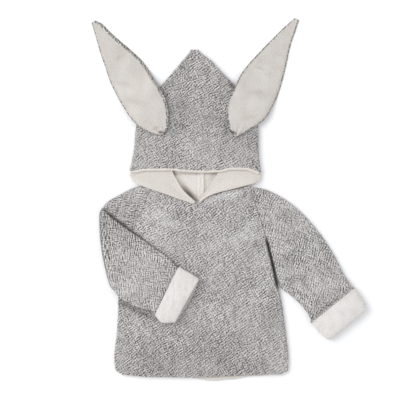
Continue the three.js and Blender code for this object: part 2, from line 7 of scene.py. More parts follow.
import bmesh
import bpy
import numpy as np
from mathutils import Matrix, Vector


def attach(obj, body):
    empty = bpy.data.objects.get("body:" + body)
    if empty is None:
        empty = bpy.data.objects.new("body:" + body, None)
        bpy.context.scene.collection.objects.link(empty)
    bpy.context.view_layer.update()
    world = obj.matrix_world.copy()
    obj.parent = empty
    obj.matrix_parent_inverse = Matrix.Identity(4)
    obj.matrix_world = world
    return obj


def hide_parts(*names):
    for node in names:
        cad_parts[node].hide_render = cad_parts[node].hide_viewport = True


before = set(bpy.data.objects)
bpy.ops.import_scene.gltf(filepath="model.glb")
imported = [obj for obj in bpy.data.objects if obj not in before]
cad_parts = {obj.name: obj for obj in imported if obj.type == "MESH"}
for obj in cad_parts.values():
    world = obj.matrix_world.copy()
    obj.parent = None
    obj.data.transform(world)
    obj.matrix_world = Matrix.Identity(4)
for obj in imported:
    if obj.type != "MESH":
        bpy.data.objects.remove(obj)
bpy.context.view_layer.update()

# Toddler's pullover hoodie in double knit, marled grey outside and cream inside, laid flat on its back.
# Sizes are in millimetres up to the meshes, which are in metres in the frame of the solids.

LOG = logging.getLogger("hoodie")
MM = 0.001

CLOTH = 2.6  # thickness of the double knit
SEAM = 0.3  # gap between two pieces sewn edge to edge
REST = 0.8  # gap between two pieces that lie on each other
BODY_HEIGHT = 7.2
HOOD_HEIGHT = 9.6
SLEEVE_HEIGHT = 7.2
FOLD_GAP = 1.2
CUFF_GAP = 0.8
EAR_CLOTH = 2.4
# Painted light: share of painted highlight on a ridge 1 mm high, and of painted shade in a trough as deep.
RELIEF_PAINTED_LIGHT = 0.1  # how much lighter cloth looks on a ridge 1 mm high


class Side(Enum):
    """The wearer's side that a piece is on."""

    RIGHT = "right"
    LEFT = "left"


class Layer(Enum):
    """Which half of a flat-lying shell a panel is."""

    TOP = 1
    BOTTOM = -1


class Slot(Enum):
    """Material slots of the part."""

    MARL = "marl_knit"
    CREAM = "cream_knit"


def smooth(low: float, high: float, value: np.ndarray | float) -> np.ndarray:
    """Soft step from 0 at low to 1 at high.

    Args:
        low: where the step starts.
        high: where it ends.
        value: number or array to take it at.

    Returns:
        The step's height, 0 to 1.
    """
    share = np.clip((np.asarray(value, dtype=float) - low) / (high - low), 0, 1)
    return share * share * (3 - 2 * share)


def mix(first: np.ndarray | float, second: np.ndarray | float, share: np.ndarray | float) -> np.ndarray:
    """Value between two others: the first at share 0, the second at share 1.

    Args:
        first: what share 0 gives.
        second: what share 1 gives.
        share: share from 0 to 1.

    Returns:
        The value.
    """
    return first + (second - first) * share


class Table:
    """Short table with named columns and a row for each section, level or fold."""

    def __init__(self, columns: str, *rows: tuple[float, ...]) -> None:
        """Keeps the rows.

        Args:
            columns: the columns' names, with spaces between them.
            *rows: one tuple of numbers a row.
        """
        self.names = columns.split()
        self.values = np.array(rows, dtype=float)

    @property
    def last(self) -> int:
        """Number of the last row.

        Returns:
            The number.
        """
        return len(self.values) - 1

    def column(self, name: str) -> np.ndarray:
        """All values of one column.

        Args:
            name: the column's name.

        Returns:
            The column.
        """
        return self.values[:, self.names.index(name)]

    def at(self, name: str, place: np.ndarray | float) -> np.ndarray:
        """Value of a column on a curve through the rows, where row k is at place k.

        Args:
            name: the column.
            place: row place or array of them.

        Returns:
            The values there.
        """
        values = self.column(name)
        place = np.asarray(place, dtype=float)
        low = np.clip(np.floor(place).astype(int), 0, self.last - 1)
        f = place - low
        p, q, r, s = (values[np.clip(low + step, 0, self.last)] for step in (-1, 0, 1, 2))
        bend = (2 * p - 5 * q + 4 * r - s) * f + (3 * q - p - 3 * r + s) * f * f
        return q + 0.5 * f * (r - p + bend)

    def over(self, name: str, share: np.ndarray | float) -> np.ndarray:
        """Value of a column where the column "across" reaches a share of the width.

        Args:
            name: the column.
            share: share of the width, 0 to 1.

        Returns:
            The values there, softly between the rows.
        """
        across = self.column("across")
        values = self.column(name)
        share = np.clip(np.asarray(share, dtype=float), 0, 1)
        k = np.clip(np.searchsorted(across, share, side="left") - 1, 0, self.last - 1)
        f = (share - across[k]) / (across[k + 1] - across[k])
        return mix(values[k], values[k + 1], smooth(0, 1, f))


@dataclass(frozen=True)
class Waves:
    """Slight unevenness of cloth that was smoothed down by hand."""

    seed: int
    height: float
    length: float
    count: int = 16

    def at(self, x: np.ndarray, y: np.ndarray) -> np.ndarray:
        """Height of the unevenness at places in plan.

        Args:
            x: places across.
            y: places along.

        Returns:
            Heights, mostly within plus and minus the height.
        """
        rng = np.random.default_rng(self.seed)
        total = np.zeros(np.broadcast(x, y).shape)
        for _ in range(self.count):
            angle, phase = rng.uniform(0, 2 * math.pi, 2)
            step = 2 * math.pi / (self.length * rng.uniform(0.55, 1.7))
            total += np.sin(step * (math.cos(angle) * x + math.sin(angle) * y) + phase)
        return self.height * total / math.sqrt(self.count)


class Creases(Table):
    """Soft ridges and troughs, each along a line in plan. A rise below 0 is a trough."""

    def __init__(self, *rows: tuple[float, float, float, float, float, float]) -> None:
        """Keeps one row a crease: its line's two ends, its width and its rise.

        Args:
            *rows: how many rows of points there are.
        """
        super().__init__("from_x from_y to_x to_y width rise", *rows)

    def at(self, x: np.ndarray, y: np.ndarray) -> np.ndarray:
        """Height that the creases add at places in plan.

        Args:
            x: X, in mm.
            y: Y, in mm.

        Returns:
            The height, in mm.
        """
        total = np.zeros(np.broadcast(x, y).shape)
        for from_x, from_y, to_x, to_y, width, rise in self.values:
            dx, dy = to_x - from_x, to_y - from_y
            along = ((x - from_x) * dx + (y - from_y) * dy) / (dx * dx + dy * dy)
            off = ((x - from_x) * dy - (y - from_y) * dx) / math.hypot(dx, dy)
            total += rise * np.sin(math.pi * np.clip(along, 0, 1)) * np.exp(-((off / width) ** 2))
        return total


# Finishes


def linear(code: int) -> tuple[float, float, float, float]:
    """Colour of a hexadecimal display code, as a shader takes it.

    Args:
        code: the colour as 0xrrggbb.

    Returns:
        Red, green, blue and alpha.
    """
    parts = [((code >> shift) & 255) / 255 for shift in (16, 8, 0)]
    return (*[p / 12.92 if p <= 0.04045 else ((p + 0.055) / 1.055) ** 2.4 for p in parts], 1.0)


class Graph:
    """Node tree of one material, with short calls for the nodes that the finishes use."""

    def __init__(self, name: str) -> None:
        """Makes the material with an empty tree.

        Args:
            name: the material's name.
        """
        self.material = bpy.data.materials.new(name)
        self.material.use_nodes = True
        self.tree = self.material.node_tree
        self.tree.nodes.clear()

    def node(self, kind: str, **values: object) -> bpy.types.Node:
        """New node of a kind, with properties set.

        Args:
            kind: Blender's name of the node type.
            **values: properties of the node.

        Returns:
            The node.
        """
        made = self.tree.nodes.new(kind)
        for key, value in values.items():
            setattr(made, key, value)
        return made

    def put(self, value: object, socket: bpy.types.NodeSocket) -> None:
        """Sets a socket to a constant, or links another socket to it.

        Args:
            value: a constant, or a socket.
            socket: the input to set.
        """
        if isinstance(value, bpy.types.NodeSocket):
            self.tree.links.new(value, socket)
        else:
            socket.default_value = value

    def math(self, operation: str, *values: object) -> bpy.types.NodeSocket:
        """Result of a Math node.

        Args:
            operation: its operation.
            *values: sockets or numbers for its inputs.

        Returns:
            The node's output.
        """
        made = self.node("ShaderNodeMath", operation=operation)
        for socket, value in zip(made.inputs, values):
            self.put(value, socket)
        return made.outputs[0]

    def vector(self, operation: str, *values: object) -> bpy.types.NodeSocket:
        """Result of a Vector Math node, with sockets or tuples for its inputs.

        Args:
            operation: its operation.
            *values: sockets or tuples for its inputs.

        Returns:
            The node's output.
        """
        made = self.node("ShaderNodeVectorMath", operation=operation)
        for socket, value in zip(made.inputs, values):
            self.put(value, socket)
        return made.outputs[0]

    def noise(self, where: object, scale: float, detail: float = 0.0) -> bpy.types.NodeSocket:
        """Value of a 2-D noise, about 0.5 on average.

        Args:
            where: place that it is read at.
            scale: its scale.
            detail: its octaves past the first.

        Returns:
            The noise's value.
        """
        made = self.node("ShaderNodeTexNoise", noise_dimensions="2D")
        self.put(where, made.inputs["Vector"])
        self.put(scale, made.inputs["Scale"])
        self.put(detail, made.inputs["Detail"])
        return made.outputs["Fac"]

    def blend(self, share: object, first: object, second: object) -> bpy.types.NodeSocket:
        """Colour between two, at a share.

        Args:
            share: share from 0 to 1.
            first: what share 0 gives.
            second: what share 1 gives.

        Returns:
            The colour.
        """
        made = self.node("ShaderNodeMix", data_type="RGBA", clamp_factor=True)
        self.put(share, made.inputs[0])
        self.put(first, made.inputs[6])
        self.put(second, made.inputs[7])
        return made.outputs[2]


@dataclass(frozen=True)
class Knit:
    """Finish of one face of the double knit. Lengths are in millimetres on the cloth.

    Each share with a default says how strongly that part of the marl shows.
    """

    name: str
    dark: int
    light: int
    # groove: colour painted into the gaps between the yarn legs, a painted shade.
    groove: int
    contrast: float
    groove_shade_share: float
    bump: float
    # deep: colour that painted shade darkens the cloth towards.
    deep: int
    wale: float = 4.4
    course: float = 3.4
    slant: float = 1.1
    dash_length: float = 8.0
    dash_period: float = 4.3
    dash_order: float = 0.84
    grain: float = 2.6
    dash_angle: float = 33.0
    cross_share: float = 0.5
    dash_share: float = 1.8
    cell_share: float = 0.5
    grain_share: float = 0.8
    ply_share: float = 0.16
    even_share: float = 0.55
    broad_share: float = 0.3
    fuzz_share: float = 0.35

    def material(self) -> bpy.types.Material:
        """Builds the material: V-shaped stitches, plied yarn and its light and dark flecks.

        Returns:
            The material.
        """
        g = Graph(self.name)
        uv = g.node("ShaderNodeUVMap", uv_map="knit").outputs[0]
        cloth = g.vector("MULTIPLY", uv, (1000, 1000, 1000))
        drift = g.node("ShaderNodeTexNoise", noise_dimensions="2D")
        g.put(cloth, drift.inputs["Vector"])
        g.put(0.035, drift.inputs["Scale"])
        sway = g.vector("SUBTRACT", drift.outputs["Color"], (0.5, 0.5, 0.5))
        cloth = g.vector("ADD", cloth, g.vector("MULTIPLY", sway, (5, 5, 5)))
        height, cell, ply = self._stitch(g, cloth)
        dash = g.math("MULTIPLY_ADD", self._dash(g, cloth, 90), self.cross_share, self._dash(g, cloth, 0))
        marl = self._marl(g, cloth, cell, ply, dash)
        return self._shade(g, cloth, height, marl)

    def _stitch(self, g: Graph, cloth: object) -> tuple:
        """Relief and colour of single stitches.

        Args:
            g: the material's graph.
            cloth: place on the cloth.

        Returns:
            The relief, a random value a yarn leg, and the stripe of the plied yarn.
        """
        parts = g.node("ShaderNodeSeparateXYZ")
        g.put(cloth, parts.inputs[0])
        across = g.math("DIVIDE", parts.outputs[0], self.wale)
        along = g.math("DIVIDE", parts.outputs[1], self.course)
        centre = g.math("PINGPONG", across, 0.5)
        level = g.math("SUBTRACT", along, g.math("MULTIPLY", centre, -2 * self.slant))
        row = g.math("FRACT", level)
        leg = g.math("FRACT", g.math("MULTIPLY", across, 2.0))
        relief = None
        for part in (row, leg):
            off = g.math("SUBTRACT", g.math("MULTIPLY", part, 2.0), 1.0)
            round_part = g.math("SUBTRACT", 1.0, g.math("MULTIPLY", off, off))
            relief = round_part if relief is None else g.math("MULTIPLY", relief, round_part)
        height = g.math("POWER", relief, 0.5)
        join = g.node("ShaderNodeCombineXYZ")
        g.put(g.math("FLOOR", g.math("MULTIPLY", across, 2.0)), join.inputs[0])
        g.put(g.math("FLOOR", level), join.inputs[1])
        cell = g.node("ShaderNodeTexWhiteNoise", noise_dimensions="2D")
        g.put(join.outputs[0], cell.inputs["Vector"])
        turns = g.math("ADD", g.math("MULTIPLY", level, 2.0), g.math("MULTIPLY", leg, 1.0))
        ply = g.math("SINE", g.math("MULTIPLY", turns, 2 * math.pi))
        return height, cell.outputs[0], ply

    def _dash(self, g: Graph, cloth: object, turn: float) -> object:
        """Light and dark dashes that the two yarns of the marl make across the stitches.

        Args:
            g: the material's graph.
            cloth: place on the cloth.
            turn: degrees that these dashes are turned from the main ones.

        Returns:
            Their noise, about 0 on average.
        """
        dashes = g.node("ShaderNodeTexGabor")
        g.put(cloth, dashes.inputs["Vector"])
        g.put(1 / self.dash_length, dashes.inputs["Scale"])
        g.put(self.dash_length / self.dash_period, dashes.inputs["Frequency"])
        g.put(self.dash_order, dashes.inputs["Anisotropy"])
        g.put(math.radians(self.dash_angle + 90 + turn), dashes.inputs[4])
        return g.math("SUBTRACT", dashes.outputs["Value"], 0.5)

    def _marl(self, g: Graph, cloth: object, cell: object, ply: object, dash: object) -> bpy.types.NodeSocket:
        """Mixes the dashes, the single stitches, the grain and the plies of the marl.

        Args:
            g: the material's graph.
            cloth: place on the cloth.
            cell: random value a yarn leg.
            ply: stripe of the plied yarn.
            dash: noise of the dashes.

        Returns:
            0 where the yarn is dark, to 1 where it is light.
        """
        marl = g.math("MULTIPLY", dash, self.dash_share)
        marl = g.math("ADD", marl, g.math("MULTIPLY", g.math("SUBTRACT", cell, 0.5), self.cell_share))
        grain = g.math("SUBTRACT", g.noise(cloth, 1 / self.grain, 1.0), 0.5)
        marl = g.math("ADD", marl, g.math("MULTIPLY", grain, self.grain_share))
        marl = g.math("ADD", marl, g.math("MULTIPLY", ply, self.ply_share))
        uneven = g.math("MULTIPLY_ADD", g.noise(cloth, 0.015, 1.0), 1.0, self.even_share)
        marl = g.math("MULTIPLY", marl, g.math("MULTIPLY", uneven, self.contrast))
        broad = g.math("SUBTRACT", g.noise(cloth, 0.008, 0.0), 0.5)
        return g.math("ADD", g.math("ADD", marl, 0.5), g.math("MULTIPLY", broad, self.broad_share))

    def _shade(self, g: Graph, cloth: object, height: object, marl: object) -> bpy.types.Material:
        """Colours the cloth, darkens the gaps between its stitches and paints in shade and highlights, gives it
        its relief and joins the shader.

        Args:
            g: the material's graph.
            cloth: place on the cloth.
            height: relief of the stitches.
            marl: share of the light yarn.

        Returns:
            The finished material.
        """
        yarn = g.blend(marl, linear(self.dark), linear(self.light))
        # Painted shade: the gaps between the yarn legs are darkened towards the groove colour.
        depth = g.math("MULTIPLY", g.math("SUBTRACT", 1.0, height), self.groove_shade_share)
        colour = g.blend(depth, yarn, linear(self.groove))
        # Painted light: the mesh's painted light and tone darken the colour towards the deep colour below 0, a
        # painted shade, and lighten it towards white above 0, a painted highlight.
        painted_light_and_tone = g.node("ShaderNodeAttribute", attribute_name="painted_light_and_tone").outputs["Fac"]
        colour = g.blend(g.math("MULTIPLY", painted_light_and_tone, -1.0), colour, linear(self.deep))
        colour = g.blend(painted_light_and_tone, colour, linear(0xffffff))
        fuzz = g.noise(cloth, 1.9, 2.0)
        raised = g.math("ADD", height, g.math("MULTIPLY", fuzz, self.fuzz_share))
        bump = g.node("ShaderNodeBump")
        g.put(0.7, bump.inputs["Strength"])
        g.put(self.bump * MM, bump.inputs["Distance"])
        g.put(raised, bump.inputs["Height"])
        shader = g.node("ShaderNodeBsdfPrincipled")
        g.put(colour, shader.inputs["Base Color"])
        g.put(bump.outputs[0], shader.inputs["Normal"])
        g.put(0.95, shader.inputs["Roughness"])
        g.put(0.15, shader.inputs["Specular IOR Level"])
        g.put(0.12, shader.inputs["Sheen Weight"])
        g.put(0.6, shader.inputs["Sheen Roughness"])
        end = g.node("ShaderNodeOutputMaterial")
        g.tree.links.new(shader.outputs[0], end.inputs[0])
        return g.material


@dataclass(frozen=True)
class Finishes:
    """The materials that the pieces share."""

    marl: bpy.types.Material
    cream: bpy.types.Material
    ear: bpy.types.Material
    cuff: bpy.types.Material
    edge: bpy.types.Material

    @classmethod
    def make(cls) -> "Finishes":
        """Builds the marl of the outside, the cream of the inside, ears and cuffs, and the flecked cut edge;
        the ears' cream is painted darker as painted shade, the cuffs' cream lighter as painted light.

        Returns:
            The materials.
        """
        marl = Knit("marl_outside", 0x464443, 0xe6e2df, 0x4b4846, 0.92, 0.22, 0.6, 0x1c1a19)
        cream = Knit("cream_inside", 0xd8d0c8, 0xf4efe9, 0xa1968a, 0.45, 0.32, 0.7, 0x5f5145, wale=3.8,
                     course=3.0)
        # The ears and cuffs are one cream: darker on the ears as painted shade, lighter on the cuffs as painted
        # light.
        ear = Knit("cream_ear_painted_shade", 0xc2bcb5, 0xe0dad4, 0x998f84, 0.45, 0.3, 0.7, 0x5a4e44, wale=3.6, course=2.8)
        cuff = Knit("cream_cuff_painted_light", 0xd8d2cd, 0xf8f4f0, 0xa79c92, 0.45, 0.28, 0.9, 0x6a5b4e, wale=4.0, course=3.2)
        edge = Knit("flecked_edge", 0x5f5b57, 0xf0ece6, 0x6e6963, 1.2, 0.3, 0.9, 0x2a2624, dash_length=5,
                    dash_period=4.6, dash_order=0.3)
        return cls(*[each.material() for each in (marl, cream, ear, cuff, edge)])


# Meshes


@dataclass
class Wall:
    """Cloth between an outer and an inner grid of points, closed round its rim."""

    name: str
    outer: np.ndarray
    inner: np.ndarray
    knit: np.ndarray
    ring: bool = False
    loop: bool = False
    rim: int = 2
    soften: float = 0.7
    # Painted light and tone of each point of the outer and the inner face: below 0 painted shade, above 0
    # painted highlight, with small even shifts of tone.
    painted_light_and_tone: np.ndarray | float = 0.0
    inner_painted_light_and_tone: np.ndarray | float = 0.0

    def build(self, slots: list[bpy.types.Material], strips: dict[int, int] | None = None) -> bpy.types.Object:
        """Makes the piece.

        Args:
            slots: materials of the outer face, the inner face and the rim.
            strips: material number for whole columns of the outer face, such as a rolled edge.

        Returns:
            The piece.
        """
        rows, columns = self.outer.shape[:2]
        points = self.outer.reshape(-1, 3)
        painted_light_marks = [np.broadcast_to(each, (rows, columns)).ravel() for each in (self.painted_light_and_tone, self.inner_painted_light_and_tone)]
        faces, looks, places = [], [], []
        wide, tall = columns - (0 if self.ring else 1), rows - (0 if self.loop else 1)
        i, j = np.meshgrid(np.arange(tall), np.arange(wide), indexing="ij")
        after_i, after_j = (i + 1) % rows, (j + 1) % columns
        corners = [(i, j), (i, after_j), (after_i, after_j), (after_i, j)]
        spread = [(i, j), (i, j + 1), (i + 1, j + 1), (i + 1, j)]
        face = np.stack([a * columns + b for a, b in corners], axis=-1).reshape(-1, 4)
        place = np.stack([self.knit[a, b] for a, b in spread], axis=-2).reshape(-1, 4, 2)
        faces.append(face)
        places.append(place)
        look = np.zeros(i.shape, dtype=int)
        for column, number in (strips or {}).items():
            look[:, column] = number
        looks.append(look.ravel())
        if not self.loop:
            points = np.concatenate([points, self.inner.reshape(-1, 3)])
            faces.append(face[:, ::-1] + rows * columns)
            places.append(place[:, ::-1])
            looks.append(np.ones(len(face), dtype=int))
            for edge, spots in self._edges(rows, columns):
                deep = [e + rows * columns for e in edge]
                faces.append(np.stack([edge[1], edge[0], deep[0], deep[1]], axis=-1))
                here = np.stack([self.knit[spots[1]], self.knit[spots[0]]], axis=-2)
                places.append(np.concatenate([here, here[:, ::-1] + CLOTH], axis=-2))
                looks.append(np.full(len(edge[0]), self.rim))
        arrays = [np.concatenate(each) for each in (faces, places, looks)]
        made = self.to_object(points, *arrays, slots)
        # The painted light and tone go on the mesh as a point attribute that the finishes read.
        paint_light_and_tone = made.data.attributes.new("painted_light_and_tone", "FLOAT", "POINT")
        paint_light_and_tone.data.foreach_set("value", np.concatenate(painted_light_marks)[:len(points)].astype(np.float32))
        return made

    def _edges(self, rows: int, columns: int) -> list:
        """Vertex numbers and grid places along each open edge, in the faces' order.

        Args:
            rows: how many rows of points there are.
            columns: how many points each row has.

        Returns:
            For each edge, two rows of vertex numbers and the grid places that they have.
        """
        j = np.arange(columns - (0 if self.ring else 1))
        i = np.arange(rows - 1)
        first, last = np.zeros_like(j), np.full_like(j, rows - 1)
        after = (j + 1) % columns
        found = [
            ((j, after), ((first, j), (first, j + 1))),
            (((rows - 1) * columns + after, (rows - 1) * columns + j), ((last, j + 1), (last, j))),
        ]
        if not self.ring:
            low, high = np.zeros_like(i), np.full_like(i, columns - 1)
            found.append((((i + 1) * columns, i * columns), ((i + 1, low), (i, low))))
            end = i * columns + columns - 1
            found.append(((end, end + columns), ((i, high), (i + 1, high))))
        return found

    def to_object(self, points: np.ndarray, faces: np.ndarray, places: np.ndarray, looks: np.ndarray,
                  slots: list[bpy.types.Material]) -> bpy.types.Object:
        """Turns arrays into an object whose faces point out.

        Args:
            points: vertices, in millimetres.
            faces: four vertex numbers a face.
            places: place on the cloth of each face's corners, in millimetres.
            looks: material number of each face.
            slots: the materials.

        Returns:
            The object, in the scene.
        """
        a, b, c, d = (points[faces[:, k]] for k in range(4))
        volume = (a * np.cross(b, c)).sum() + (a * np.cross(c, d)).sum()
        if volume < 0:
            faces, places = faces[:, ::-1], places[:, ::-1]
        mesh = bpy.data.meshes.new(self.name)
        mesh.vertices.add(len(points))
        mesh.vertices.foreach_set("co", (points * MM).ravel())
        mesh.loops.add(faces.size)
        mesh.loops.foreach_set("vertex_index", faces.ravel())
        mesh.polygons.add(len(faces))
        mesh.polygons.foreach_set("loop_start", np.arange(0, faces.size, 4))
        mesh.polygons.foreach_set("material_index", looks)
        mesh.polygons.foreach_set("use_smooth", np.ones(len(faces), dtype=bool))
        mesh.update(calc_edges=True)
        layer = mesh.uv_layers.new(name="knit")
        layer.data.foreach_set("uv", (places * MM).ravel())
        for material in slots:
            mesh.materials.append(material)
        made = bpy.data.objects.new(self.name, mesh)
        bpy.context.scene.collection.objects.link(made)
        if self.soften and not self.loop:
            bevel = made.modifiers.new("soft_edge", "BEVEL")
            bevel.width = self.soften * MM
            bevel.segments = 2
            bevel.limit_method = "ANGLE"
            bevel.angle_limit = math.radians(50)
        return made


def declare(piece: bpy.types.Object, nodes: list[str]) -> None:
    """Puts a piece on the part's body, hides the solids that it stands for and logs it.

    Args:
        piece: the piece.
        nodes: solids that it stands for.
    """
    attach(piece, "root")
    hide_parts(*nodes)
    report(piece)


def report(piece: bpy.types.Object) -> None:
    """Logs a piece with its size.

    Args:
        piece: the piece.
    """
    LOG.info("%s: %d faces, %.0f x %.0f x %.0f mm", piece.name, len(piece.data.polygons),
             *[side * 1000 for side in piece.dimensions])


# Body

BODY_ROWS = Table(
    "y right left side_round",
    (-326, -216, 111, 1),
    (-300, -219, 112, 1),
    (-262, -215, 108, 1),
    (-224, -212, 103, 1),
    (-186, -211, 97, 1),
    (-140, -203, 87, 1),
    (-105, -197, 79, 1),
    (-77, -188, 71, 0.7),
    (-47, -176.4, 60.4, 0),
    (-13, -162.3, 48.8, 0),
    (21, -148.2, 37.2, 0),
)
HEM_LINE = Table(
    "across front back",
    (0, 0, 0),
    (0.05, -7.5, -6),
    (0.2, -11, -8),
    (0.4, -12, -12),
    (0.56, -11, -18),
    (0.66, -9, -15.5),
    (0.8, -6.5, -9.5),
    (0.95, -6, -5.5),
    (1, 0, 0),
)
NECK_LINE = Table(
    "across front back",
    (0, 1, 1),
    (0.13, -7, -6),
    (0.28, -17, -17),
    (0.46, -29, -25),
    (0.62, -14, -17),
    (0.8, -4, -6),
    (1, 3, 1),
)
FRONT_FOLDS = Creases(
    (58, -40, -5, -95, 16, 1.6),
    (82, -128, 40, -205, 14, 1.2),
    (-150, -20, -100, -60, 15, 1.2),
    (-208, -262, -120, -250, 16, 1.1),
    (20, -325, 30, -270, 15, 1.0),
)
FRONT_CREASES = Creases(
    (68, -70, 20, -118, 9, -0.7),
    (78, -96, 35, -150, 8, 0.6),
    (96, -190, 62, -250, 11, -0.7),
    (-60, -22, -72, -90, 7, -0.5),
    (-40, -30, -20, -100, 10, 0.5),
    (-200, -300, -120, -290, 8, -0.6),
    (70, -328, 60, -280, 9, -0.7),
    (-30, -336, -40, -290, 10, 0.6),
    (-110, -330, -100, -280, 8, -0.5),
    (-60, -180, -10, -240, 20, 0.6),
)
# Painted shade on the front: shadows along the folded sleeve's edges and below it, and in the hollows of
# creases. Each rise is a share of painted shade.
FRONT_PAINTED_SHADE = Creases(
    (-250, -13, -150, -86, 2.6, -0.7),
    (-214, -42, -90, -134, 2.6, -0.65),
    (-134, -205, -60, -158, 4, -0.2),
    (-228, -188, -112, -240, 5, -0.42),
    (66, -62, 30, -112, 10, -0.1),
    (90, -200, 60, -262, 12, -0.1),
    (-62, -30, -70, -100, 10, -0.1),
    (-200, -318, -60, -318, 16, -0.08),
    (20, -328, 100, -300, 14, -0.08),
)
BACK_CREASES = Creases(
    (60, -60, 0, -110, 10, -1.0),
    (-170, -60, -110, -110, 10, -1.0),
    (-50, -40, -55, -140, 12, -0.8),
    (85, -150, 30, -210, 9, -0.9),
    (-195, -150, -140, -205, 9, -0.9),
    (-200, -290, -120, -275, 10, -0.8),
    (20, -320, 40, -260, 9, -0.8),
)


@dataclass
class NeckRidge:
    """Soft roll of the front along the left half of the neckline."""

    start: float = 0.5
    stop: float = 0.96
    end: float = 0.08
    back: float = 9.0
    width: float = 7.0
    rise: float = 2.0

    def at(self, y: np.ndarray, share: np.ndarray, level: np.ndarray) -> np.ndarray:
        """Height of the roll.

        Args:
            y: places along the body.
            share: share of the width.
            level: share of the body's length.

        Returns:
            The heights.
        """
        neck = BODY_ROWS.column("y")[-1] + NECK_LINE.over("front", share)
        fall = 1 - smooth(self.stop - self.end, self.stop, share)
        ends = smooth(self.start, self.start + self.end, share) * fall
        roll = self.rise * ends * np.exp(-(((neck - self.back - y) / self.width) ** 2))
        return roll * smooth(0.7, 0.8, level)


@dataclass
class ShellLine:
    """Ends, shape and height of the rows of a half shell, one value a station."""

    start: np.ndarray
    stop: np.ndarray
    side_round: np.ndarray
    tip: np.ndarray
    y: Callable[[np.ndarray], np.ndarray]


@dataclass
class HalfShell:
    """Upper or lower half of a flat tube of cloth."""

    height: float
    layer: Layer
    middles: int
    rims: int = 7

    def face(self, line: ShellLine, inset: float, lift: Callable | None) -> np.ndarray:
        """Points of one face.

        Args:
            line: the rows.
            inset: depth of the face below the outer one.
            lift: height to add, worked out from x, y, share across and station, or None.

        Returns:
            A grid of points.
        """
        radius = self.height / 2
        deep = radius - inset
        angle = np.linspace(0, math.pi / 2, self.rims)[None, :]
        start, stop = line.start[:, None], line.stop[:, None]
        side_round, tip = line.side_round[:, None], line.tip[:, None]
        reach = mix(radius, deep, side_round)
        low = start + radius - reach * np.cos(angle)
        high = (stop - radius + reach * np.cos(angle))[:, ::-1]
        share = (np.arange(self.middles)[None, :] + 1) / (self.middles + 1)
        x = np.concatenate([low, mix(start + radius, stop - radius, share), high], axis=1)
        rise = np.sin(angle)[0]
        bulge = np.concatenate([rise, np.ones(self.middles), rise[::-1]])[None, :]
        over = (x - start) / (stop - start)
        y = line.y(over) + deep * np.cos(tip)
        core = deep - SEAM / 2
        z = radius + self.layer.value * (SEAM / 2 + mix(core, core * bulge, side_round) * np.sin(tip))
        if lift:
            z = z + lift(x, y, over) * bulge * np.sin(tip)
        return np.stack([x, y, z], axis=-1)

    def wall(self, name: str, line: ShellLine, lift: Callable | None = None,
             paint_light_and_tone: Callable | None = None) -> Wall:
        """Cloth wall of the half shell, with its wales along Y and its rows measured round the sides.

        Args:
            name: the piece's name.
            line: the rows.
            lift: height to add, as for a face.
            paint_light_and_tone: painted light and tone of a point, from x, y, share across and height added,
                or None.

        Returns:
            The wall.
        """
        outer = self.face(line, 0, lift)
        steps = np.hypot(np.diff(outer[..., 0], axis=1), np.diff(outer[..., 2], axis=1))
        run = np.cumsum(np.pad(steps, ((0, 0), (1, 0))), axis=1)
        middle = slice(outer.shape[1] // 2, outer.shape[1] // 2 + 1)
        across = outer[:, middle, 0] + run - run[:, middle]
        knit = np.stack([across, outer[..., 1]], axis=-1)
        made = Wall(name, outer, self.face(line, CLOTH, lift), knit, soften=0.35)
        if paint_light_and_tone:
            x, y = outer[..., 0], outer[..., 1]
            over = (x - line.start[:, None]) / (line.stop - line.start)[:, None]
            made.painted_light_and_tone, made.inner_painted_light_and_tone = paint_light_and_tone(x, y, over, lift(x, y, over))
        return made


